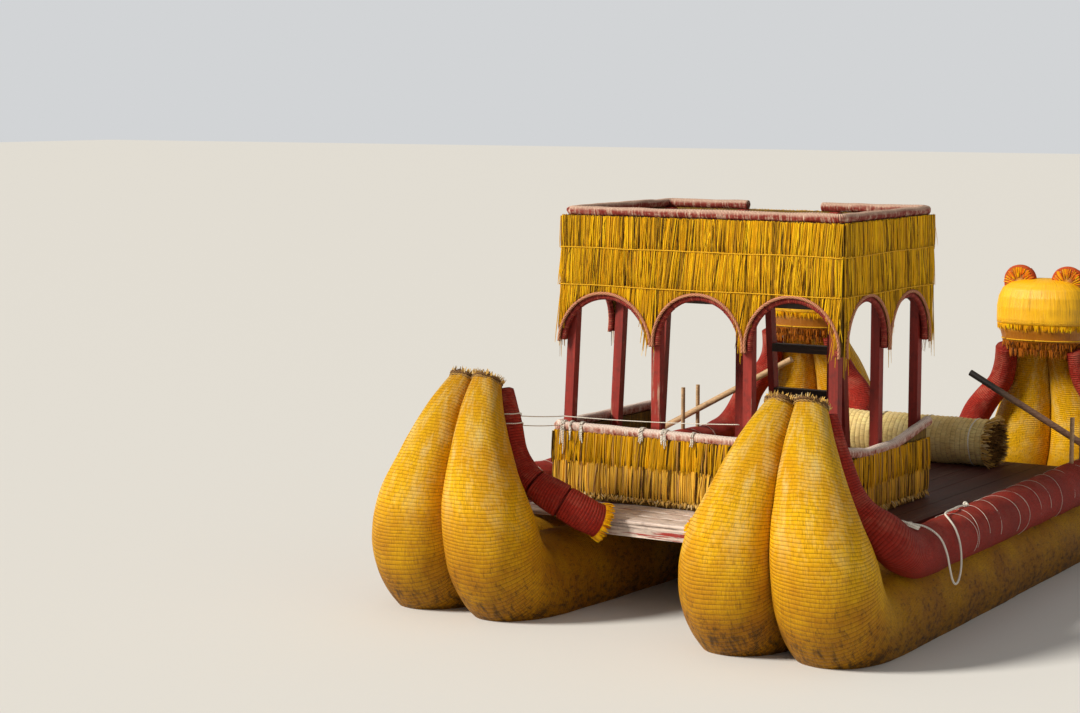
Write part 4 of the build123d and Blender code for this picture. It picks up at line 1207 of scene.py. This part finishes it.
def build_ear(rng, name, side, sign, fwd, seed, nodes):
    """An ear of bound reed with a thick dyed rim and loose straw on both faces."""
    outline = ear_outline()
    rings = [[ear_point(side, sign, x, y, z, grow) for y, z in outline] for x, grow in EAR_ROWS]
    lays = [[(0.02 * k, 0.01 * i) for k in range(len(outline))] for i in range(len(rings))]
    settle(ringed(f"{name}_ear", rings, lays, "head"), nodes)
    rim = [ear_point(side, sign, -0.005, y, z, 0.93) for y, z in outline]
    settle(roll_piece(f"{name}_ear_rim", rim, 0.029, "ear", around=12, step=0.010, lumps=0.008))
    red_straws, gold_straws = [], []
    for _ in range(220):
        y, z = outline[rng.randrange(len(outline))]
        way = rng.choice((-1, 1))
        spot = Vector(ear_point(side, sign, 0.036 * way - 0.005, y + rng.gauss(0, 0.006), z, 0.98))
        inward = Vector(ear_point(side, sign, 0.03 * way, 0, 0, 1.0)) - spot
        row = red_straws if rng.random() < 0.5 else gold_straws
        row.append((tuple(spot), turned(inward.normalized() + fwd * (0.15 * way), fwd * way),
                    (0.009, 0.007, rng.uniform(0.03, 0.085))))
    for row, coat in ((red_straws, "ear"), (gold_straws, "gold")):
        settle(set_on_points(f"{name}_ear_{coat}_straw", row, "blade", coat, seed + sign))


def build_muzzle(word, side, fwd, port, up):
    """The nose, lip, teeth and whiskers of a head."""
    nose = Vector(hull_to_boat(HEAD_X + 0.437, 0.0, HEAD_LOW + 0.26, side))
    settle(dome(f"{word}_nose", nose, port, up, fwd, radius=0.06, tall=0.035, thick=0.03,
                coat="dark_wood"))
    lip = [Vector(hull_to_boat(HEAD_X + 0.262 + 0.185 * math.cos(math.radians(a)),
                               0.16 * math.sin(math.radians(a)), HEAD_LOW + 0.15, side))
           for a in range(-80, 81, 16)]
    settle(roll_piece(f"{word}_lip", lip, 0.014, "arch", around=8, step=0.015, lumps=0.002))
    teeth = [(tuple(p + up * 0.004), turned((0, 0, -1), fwd), (0.016, 0.012, 0.035)) for p in lip[3:8]]
    settle(set_on_points(f"{word}_teeth", teeth, "stalk", "rope", 1))
    whiskers = []
    for sign in (-1, 1):
        for k in range(4):
            start = hull_to_boat(HEAD_X + 0.40, sign * 0.11, HEAD_LOW + 0.185 + 0.022 * k, side)
            whiskers.append((start, turned(port * sign + fwd * 0.25 + up * (0.16 * k - 0.3), fwd),
                             (0.006, 0.006, 0.15)))
    settle(set_on_points(f"{word}_whiskers", whiskers, "stalk", "fringe", 2))


class BOAT_OT_heads(bpy.types.Operator):
    """Builds the two puma heads with ears, eyes, muzzle and whiskers"""
    bl_idname = "boat.heads"
    bl_label = "Puma heads"

    def execute(self, context):
        sizes = context.scene.boat_sizes
        rng = random.Random(sizes.seed + 5)
        up = Vector((0, 0, 1))
        for side, word, _ in HULLS:
            settle(head_piece(f"{word}_head_reeds", side), [f"{word}_puma_head"])
            fwd, port = hull_way(1, 0, 0, side), hull_way(0, 1, 0, side)
            hair = head_straw(rng, side, fwd, port, low=HEAD_TIES[1], length=0.045, count=620)
            # the collar straws are brown orange: painted shade under the head
            collar = head_straw(rng, side, fwd, port, low=HEAD_TIES[0], length=0.05, count=420)
            collar += head_straw(rng, side, fwd, port, low=0.004, length=0.055, count=420)
            settle(set_on_points(f"{word}_head_fringe", hair, "blade", "gold", sizes.seed))
            settle(set_on_points(f"{word}_head_collar", collar, "blade", "collar", sizes.seed))
            for k, low in enumerate(HEAD_TIES):
                cord = [head_point(side, low + 0.022, a, 0.008)
                        for a in np.linspace(-math.pi, math.pi, 60)]
                settle(roll_piece(f"{word}_head_tie_{k + 1}", cord, 0.0045, "stitch", around=6,
                                  step=0.03, lumps=0.001))
            for sign, place in ((1, "outer"), (-1, "inner")):
                build_ear(rng, f"{word}_{place}", side, sign, fwd, sizes.seed,
                          [f"{word}_puma_ears"] if sign > 0 else [])
                eye = head_point(side, 0.36, 0.0, 0.0) + port * (sign * 0.15) - fwd * 0.012
                settle(dome(f"{word}_{place}_eye", eye, port, up, fwd, radius=0.055, tall=0.045,
                            thick=0.03, coat="rope"))
                settle(dome(f"{word}_{place}_pupil", eye + fwd * 0.018, port, up, fwd, radius=0.028,
                            tall=0.03, thick=0.022, coat="dark_wood"))
            build_muzzle(word, side, fwd, port, up)
        return {"FINISHED"}


# the straw log: its middle line, radius and ties
LOG_X, LOG_Z, LOG_R = 1.6, DECK_TOP + 0.1883, 0.186
LOG_TIES = (-0.86, -0.45, -0.05, 0.38, 0.78)


class BOAT_OT_log(bpy.types.Operator):
    """Builds the tied straw log on the fore deck"""
    bl_idname = "boat.log"
    bl_label = "Straw log"

    def execute(self, context):
        sizes = context.scene.boat_sizes
        rng = random.Random(sizes.seed + 9)
        rows = [(LOG_X, y, LOG_Z, LOG_R) for y in np.linspace(-0.98, 0.9, 12)]
        rings, lays = tube_rings(*smooth_line(rows, 0.021), 48, lumps=0.012, swell=0.003)
        settle(ringed("log_straw", rings, lays, "log"), ["reed_log"])
        core, skirt = [], []
        for y, way in ((-0.96, -1), (0.88, 1)):
            end, axis = (LOG_X, y, LOG_Z), (0, way, 0)
            core += frill(rng, end, axis, LOG_R * 0.97, sizes.straws * 5, length=0.07, flare=0.12,
                          wide=0.011, depth=1.0)
            skirt += frill(rng, end, axis, LOG_R * 0.98, sizes.straws * 3, length=0.085, flare=0.45,
                           wide=0.010, depth=0.1)
        # the straws that would go into the deck are left out
        skirt = [p for p in skirt if p[0][2] > DECK_TOP + 0.042]
        # the log's cut ends are dark brown: partly painted shade on the ends
        settle(set_on_points("log_cut_ends", core, "stalk", "dark_straw", 4))
        settle(set_on_points("log_loose_straw", skirt, "blade", "fringe", 5))
        reach = LOG_R + 0.003
        for k, y in enumerate(LOG_TIES):
            band = [(LOG_X + reach * math.cos(a), y + 0.006 * math.sin(3 * a),
                     LOG_Z + reach * math.sin(a)) for a in np.linspace(0, 2 * math.pi, 40)]
            settle(roll_piece(f"log_tie_{k + 1}", band, 0.005, "rope", around=8, step=0.02, lumps=0.001))
        return {"FINISHED"}


# the aft edges of the three aft boards, their starboard ends and undersides, and their size
BOARD_X = (-2.06, -1.865, -1.671)
BOARD_Y, BOARD_Z = -1.2, 0.642
BOARD_SIZE = (0.188, 2.4, 0.03)
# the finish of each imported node, by a word in its name
NODE_COATS = {
    "posts": "post", "stiles": "post", "planks": "deck", "deck_beams": "deck", "edge_beam": "boards",
    "floor_boards": "boards", "starboard_oar": "oar", "bearers": "dark_wood", "joists": "dark_wood",
    # the rungs take the dark wood as painted shade, as they stand in the cabin's shade
    "rungs": "dark_wood", "port_oar": "pole", "pegs": "pole",
}


class BOAT_OT_woodwork(bpy.types.Operator):
    """Lays the worn aft boards and paints the posts, decks, ladder and oars"""
    bl_idname = "boat.woodwork"
    bl_label = "Woodwork"

    def execute(self, context):
        rng = random.Random(context.scene.boat_sizes.seed + 11)
        for k, x in enumerate(BOARD_X):
            plank = worn_plank(f"aft_board_{k + 1}", (x, BOARD_Y, BOARD_Z), BOARD_SIZE, "boards", rng)
            settle(plank, ["aft_deck_boards"] if k == 0 else [])
        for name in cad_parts:
            for part, coat in NODE_COATS.items():
                if part in name:
                    coat_node(name, coat)
        return {"FINISHED"}


def gunwale_spot(side, x, angle, clear):
    """A point round the low run of an outer gunwale: degrees from its top, outboard positive."""
    low_run = [row for row in gunwale_lines(1.0)[0] if abs(row[0]) < 2.25 and row[2] < 1.0]
    xs, ys, zs, radii = zip(*low_run)
    out = float(np.interp(x, xs, radii)) + clear
    a = math.radians(angle)
    y, z = float(np.interp(x, xs, ys)), float(np.interp(x, xs, zs))
    return Vector(hull_to_boat(x, y + out * math.sin(a), z + out * math.cos(a), side))


def taut_line(start, end, sag, count):
    """Points of a line stretched between two places, with a little sag."""
    start, end = Vector(start), Vector(end)
    return [start.lerp(end, t) - Vector((0, 0, sag * t * (1 - t))) for t in np.linspace(0, 1, count)]


def ring_round(centre, axis, radius):
    """Points of a turn of rope round a roll."""
    turn = Vector(axis).to_track_quat("Z", "Y")
    return [Vector(centre) + turn @ Vector((radius * math.cos(a), radius * math.sin(a),
                                            0.006 * math.sin(3 * a)))
            for a in np.linspace(0.0, 2 * math.pi, 26)]


# radii of the loose rope, the ties on the rail, the stretched lines and the twine
ROPE_R, TIE_R, LINE_R, TWINE_R = 0.007, 0.0042, 0.0034, 0.0014
# ties along the rail: place, number of turns, how far the end hangs
RAIL_TIES = ((1.135, 3, 0.20), (1.06, 2, 0.10), (0.975, 3, 0.17), (0.46, 3, 0.09), (0.28, 2, 0.08),
             (0.255, 2, 0.12), (0.03, 2, 0.06), (-0.35, 3, 0.08), (-0.8, 2, 0.1))
# lines from the port stern gunwale: where each is tied, and where it ends at the rail's corner
STERN_LINES = (((-2.324, 1.055, 1.375), (RAIL_X - 0.040, 1.11, 1.282)),
               ((-2.335, 1.032, 1.310), (RAIL_X - 0.043, 1.145, 1.212)))
# two places on that gunwale, for its direction
STERN_LOW, STERN_HIGH = (-2.333, 1.04, 1.334), (-2.281, 1.121, 1.554)
# the upper line goes on to the middle post
RAIL_LINE = ((RAIL_X - 0.040, 1.11, 1.282), (RAIL_X + 0.01, -0.33, 1.322))
# twine round the gunwales: place along the hull, share of the way round, degrees of its middle
TWINES = ((-1.2, 1.0, 0), (-1.02, 0.7, 30), (-0.83, 1.0, -30), (-0.58, 0.8, 10), (-0.36, 1.0, 0),
          (-0.12, 0.9, 40), (0.18, 1.0, -20), (0.42, 0.8, 0), (0.73, 1.0, 20), (1.0, 0.9, -10),
          (1.32, 1.0, 0), (1.6, 0.8, 30))
# the loose rope of the starboard gunwale starts in a small coil: its middle along the hull, its half
# width, the degrees that it reaches round, its turns
ROPE_COIL = (-1.985, 0.085, 27.0, 2)
# it leaves the coil along the gunwale: place along the hull, degrees round, clearance
ROPE_START = ((-1.865, -8, 0.027), (-1.815, 16, 0.027), (-1.785, 50, 0.027), (-1.765, 84, 0.027))
# then hangs in a bight: along the hull, out from the gunwale's middle line, below it
ROPE_BIGHT = ((-1.745, 0.214, 0.110), (-1.700, 0.216, 0.190), (-1.640, 0.216, 0.225),
              (-1.575, 0.216, 0.190), (-1.535, 0.214, 0.100))
# and lies on the gunwale again
ROPE_END = ((-1.515, 84, 0.027), (-1.490, 50, 0.027), (-1.435, 22, 0.027), (-1.355, 4, 0.024),
            (-1.245, -4, 0.022), (-1.115, -2, 0.023), (-0.995, -8, 0.021), (-0.900, -4, 0.012))


def loose_rope_route():
    """The control points of the loose rope."""
    along, half, reach, turns = ROPE_COIL
    coil = []
    for k in range(14 * turns + 1):
        t = 2 * math.pi * k / 14 + math.pi / 2
        lift = 0.0095 + 0.014 * k / 14
        coil.append(gunwale_spot(-1, along + (half + 0.0008 * k) * math.sin(t),
                                 -3.0 - reach * math.cos(t), lift))
    hanging = [gunwale_spot(-1, x, 0, -GUNWALE_R) + Vector((0, -out, -below))
               for x, out, below in ROPE_BIGHT]
    leaving, lying = ([gunwale_spot(-1, *spot) for spot in part] for part in (ROPE_START, ROPE_END))
    return coil + leaving + hanging + lying


def nurbs_points(route):
    """The smooth line that a NURBS spline draws through a route's control points."""
    curve = bpy.data.curves.new("route", "CURVE")
    curve.dimensions = "3D"
    curve.resolution_u = 8
    spline = curve.splines.new("NURBS")
    spline.points.add(len(route) - 1)
    for point, spot in zip(spline.points, route):
        point.co = (*spot, 1.0)
    spline.order_u = 3
    spline.use_endpoint_u = True
    holder = bpy.data.objects.new("route", curve)
    bpy.context.scene.collection.objects.link(holder)
    mesh = bpy.data.meshes.new_from_object(holder)
    points = [v.co.copy() for v in mesh.vertices]
    bpy.data.objects.remove(holder)
    bpy.data.curves.remove(curve)
    bpy.data.meshes.remove(mesh)
    return points


class BOAT_OT_ropes(bpy.types.Operator):
    """Ties the rail, stretches the stern lines, lays the loose rope and winds twine on the gunwales"""
    bl_idname = "boat.ropes"
    bl_label = "Ropes"

    def execute(self, context):
        rng = random.Random(context.scene.boat_sizes.seed + 20)
        count = 0
        for y, turns, tail in RAIL_TIES:
            z = RAIL_Z - 0.015 * (RAIL_PORT - y) / 2.3
            for strand in range(turns):
                shift = 0.011 * strand + rng.uniform(-0.002, 0.002)
                start = rng.uniform(2.4, 2.9)
                loop = [Vector((RAIL_X + 0.043 * math.cos(a), y - shift + 0.006 * math.sin(a),
                                z + 0.043 * math.sin(a)))
                        for a in np.linspace(start, start - 2 * math.pi + 0.2, 20)]
                end = loop[-1]
                drop = tail * rng.uniform(0.6, 1.1)
                loop += [Vector((end.x - 0.004, end.y - 0.002, end.z - 0.03)),
                         Vector((end.x - 0.002, end.y + rng.uniform(-0.01, 0.01), end.z - drop))]
                count += 1
                settle(roll_piece(f"rail_tie_{count}", loop, TIE_R, "rope", around=8, step=0.010,
                                  lumps=0.0005))
        upward = Vector(STERN_HIGH) - Vector(STERN_LOW)
        for k, (tied, corner) in enumerate(STERN_LINES):
            loop = ring_round(tied, upward, 0.0905)
            settle(roll_piece(f"stern_line_loop_{k + 1}", loop, 0.0040, "rope", around=8, step=0.012,
                              lumps=0.0005))
            line = taut_line(Vector(tied) + Vector((0.078, 0.03, 0.0)), corner, 0.03, 9)
            settle(roll_piece(f"stern_line_{k + 1}", line, LINE_R, "rope", around=8, step=0.03,
                              lumps=0.0))
        settle(roll_piece("rail_line", taut_line(*RAIL_LINE, 0.05, 13), LINE_R, "rope", around=8,
                          step=0.03, lumps=0.0))
        path = nurbs_points(loose_rope_route())
        rope = settle(roll_piece("loose_rope", path, ROPE_R, "rope", around=12, step=0.008, lumps=0.0))
        knot_at = path[-1] + Vector((0.012, 0, 0.004))
        knot = [knot_at + 0.0062 * Vector((math.sin(3 * a) * 1.2, math.cos(a) - 2 * math.cos(2 * a),
                                           math.sin(a) + 2 * math.sin(2 * a)))
                for a in np.linspace(0, 2 * math.pi, 40)]
        end = settle(roll_piece("loose_rope_knot", knot, 0.0068, "rope", around=10, step=0.006,
                                lumps=0.0))
        for k, (x, share, middle) in enumerate(TWINES):
            for side, word, _ in HULLS:
                slant = rng.uniform(-0.09, 0.09)
                shift = 0.1 * (side > 0)
                arc = [gunwale_spot(side, x + slant * math.sin(math.radians(a)) + shift, a, 0.0035)
                       for a in np.linspace(middle - 120 * share, middle + 120 * share, 22)]
                settle(roll_piece(f"{word}_gunwale_twine_{k + 1}", arc, TWINE_R, "rope", around=6,
                                  step=0.03, lumps=0.0))
        return {"FINISHED"}


# the camera: its place, heading and dip in degrees, and lens and film width in millimetres
CAMERA_AT = (-16.165, -8.197, 3.663)
CAMERA_HEADING, CAMERA_DIP, CAMERA_LENS, CAMERA_FILM = 33.0, 6.37, 78.97, 36
# the sun: its power, width in degrees and way; the fill light: its watts, width and place
SUN_POWER, SUN_WIDTH, SUN_WAY = 4.1, 12, (0.60, -0.55, -0.58)
FILL_POWER, FILL_WIDTH, FILL_AT = 55.0, 8.0, (-9.0, -12.0, 6.0)


def aim(name, data, place, way):
    """A camera or light at a place that looks along a way."""
    made = bpy.data.objects.new(name, data)
    made.location = place
    made.rotation_euler = Vector(way).to_track_quat("-Z", "Y").to_euler()
    bpy.context.scene.collection.objects.link(made)
    return made


class BOAT_OT_stage(bpy.types.Operator):
    """Sets the floor at the waterline, the lights and the camera"""
    bl_idname = "boat.stage"
    bl_label = "Stage"

    def execute(self, context):
        scene = context.scene
        half = scene.boat_sizes.floor_side / 2
        mesh = bpy.data.meshes.new("floor")
        mesh.from_pydata([(-half, -half, 0), (half, -half, 0), (half, half, 0), (-half, half, 0)], [],
                         [(0, 1, 2, 3)])
        mesh.materials.append(floor_material("pale floor"))
        floor = bpy.data.objects.new("floor", mesh)
        scene.collection.objects.link(floor)
        camera = bpy.data.cameras.new("camera")
        camera.sensor_width = CAMERA_FILM
        camera.lens = CAMERA_LENS
        camera.clip_end = 600
        yaw, pitch = math.radians(CAMERA_HEADING), math.radians(CAMERA_DIP)
        look = (math.cos(yaw) * math.cos(pitch), math.sin(yaw) * math.cos(pitch), -math.sin(pitch))
        scene.camera = aim("camera", camera, CAMERA_AT, look)
        scene.view_settings.view_transform = "Standard"
        sun = bpy.data.lights.new("key light", "SUN")
        sun.energy = SUN_POWER
        sun.angle = math.radians(SUN_WIDTH)
        sun.color = linear("#FFF8EC")[:3]
        aim("key light", sun, (0, 0, 0), SUN_WAY)
        lamp = bpy.data.lights.new("fill light", "AREA")
        lamp.energy = FILL_POWER
        lamp.size = FILL_WIDTH
        aim("fill light", lamp, FILL_AT, Vector((0, 0, 0.9)) - Vector(FILL_AT))
        world = bpy.data.worlds.new("studio")
        scene.world = world
        world.use_nodes = True
        tree = world.node_tree
        tree.nodes.clear()
        lit = node(tree, "ShaderNodeBackground", "#E8E5E0", 0.40)
        seen = node(tree, "ShaderNodeBackground", "#D2D4D6", 1.0)
        path = node(tree, "ShaderNodeLightPath").outputs["Is Camera Ray"]
        node(tree, "ShaderNodeOutputWorld", node(tree, "ShaderNodeMixShader", path, lit, seen))
        return {"FINISHED"}


class BOAT_PT_panel(bpy.types.Panel):
    """Lists the sizes, the colours and the builders in order"""
    bl_label = "Reed boat"
    bl_idname = "BOAT_PT_panel"
    bl_space_type = "VIEW_3D"
    bl_region_type = "UI"
    bl_category = "Reed boat"

    def draw(self, context):
        for group in (context.scene.boat_sizes, context.scene.boat_colours):
            for key in group.__annotations__:
                self.layout.prop(group, key)
        for each in BUILDERS:
            self.layout.operator(each.bl_idname)


GROUPS = (BoatSizes, BoatColours)
BUILDERS = (BOAT_OT_stage, BOAT_OT_bundles, BOAT_OT_gunwales, BOAT_OT_tips, BOAT_OT_thatch, BOAT_OT_mats,
            BOAT_OT_rolls, BOAT_OT_heads, BOAT_OT_log, BOAT_OT_woodwork, BOAT_OT_ropes)


def register():
    """Makes the sizes, the colours and the builders known to Blender."""
    for each in GROUPS + BUILDERS + (BOAT_PT_panel,):
        bpy.utils.register_class(each)
    bpy.types.Scene.boat_sizes = bpy.props.PointerProperty(type=BoatSizes)
    bpy.types.Scene.boat_colours = bpy.props.PointerProperty(type=BoatColours)


def unregister():
    """Takes them away again."""
    del bpy.types.Scene.boat_sizes
    del bpy.types.Scene.boat_colours
    for each in reversed(GROUPS + BUILDERS + (BOAT_PT_panel,)):
        bpy.utils.unregister_class(each)


def main():
    """Builds the boat."""
    register()
    bpy.ops.boat.stage()
    bpy.ops.boat.bundles()
    bpy.ops.boat.gunwales()
    bpy.ops.boat.tips()
    bpy.ops.boat.thatch()
    bpy.ops.boat.mats()
    bpy.ops.boat.rolls()
    bpy.ops.boat.heads()
    bpy.ops.boat.log()
    bpy.ops.boat.woodwork()
    bpy.ops.boat.ropes()


if __name__ == "__main__":
    main()
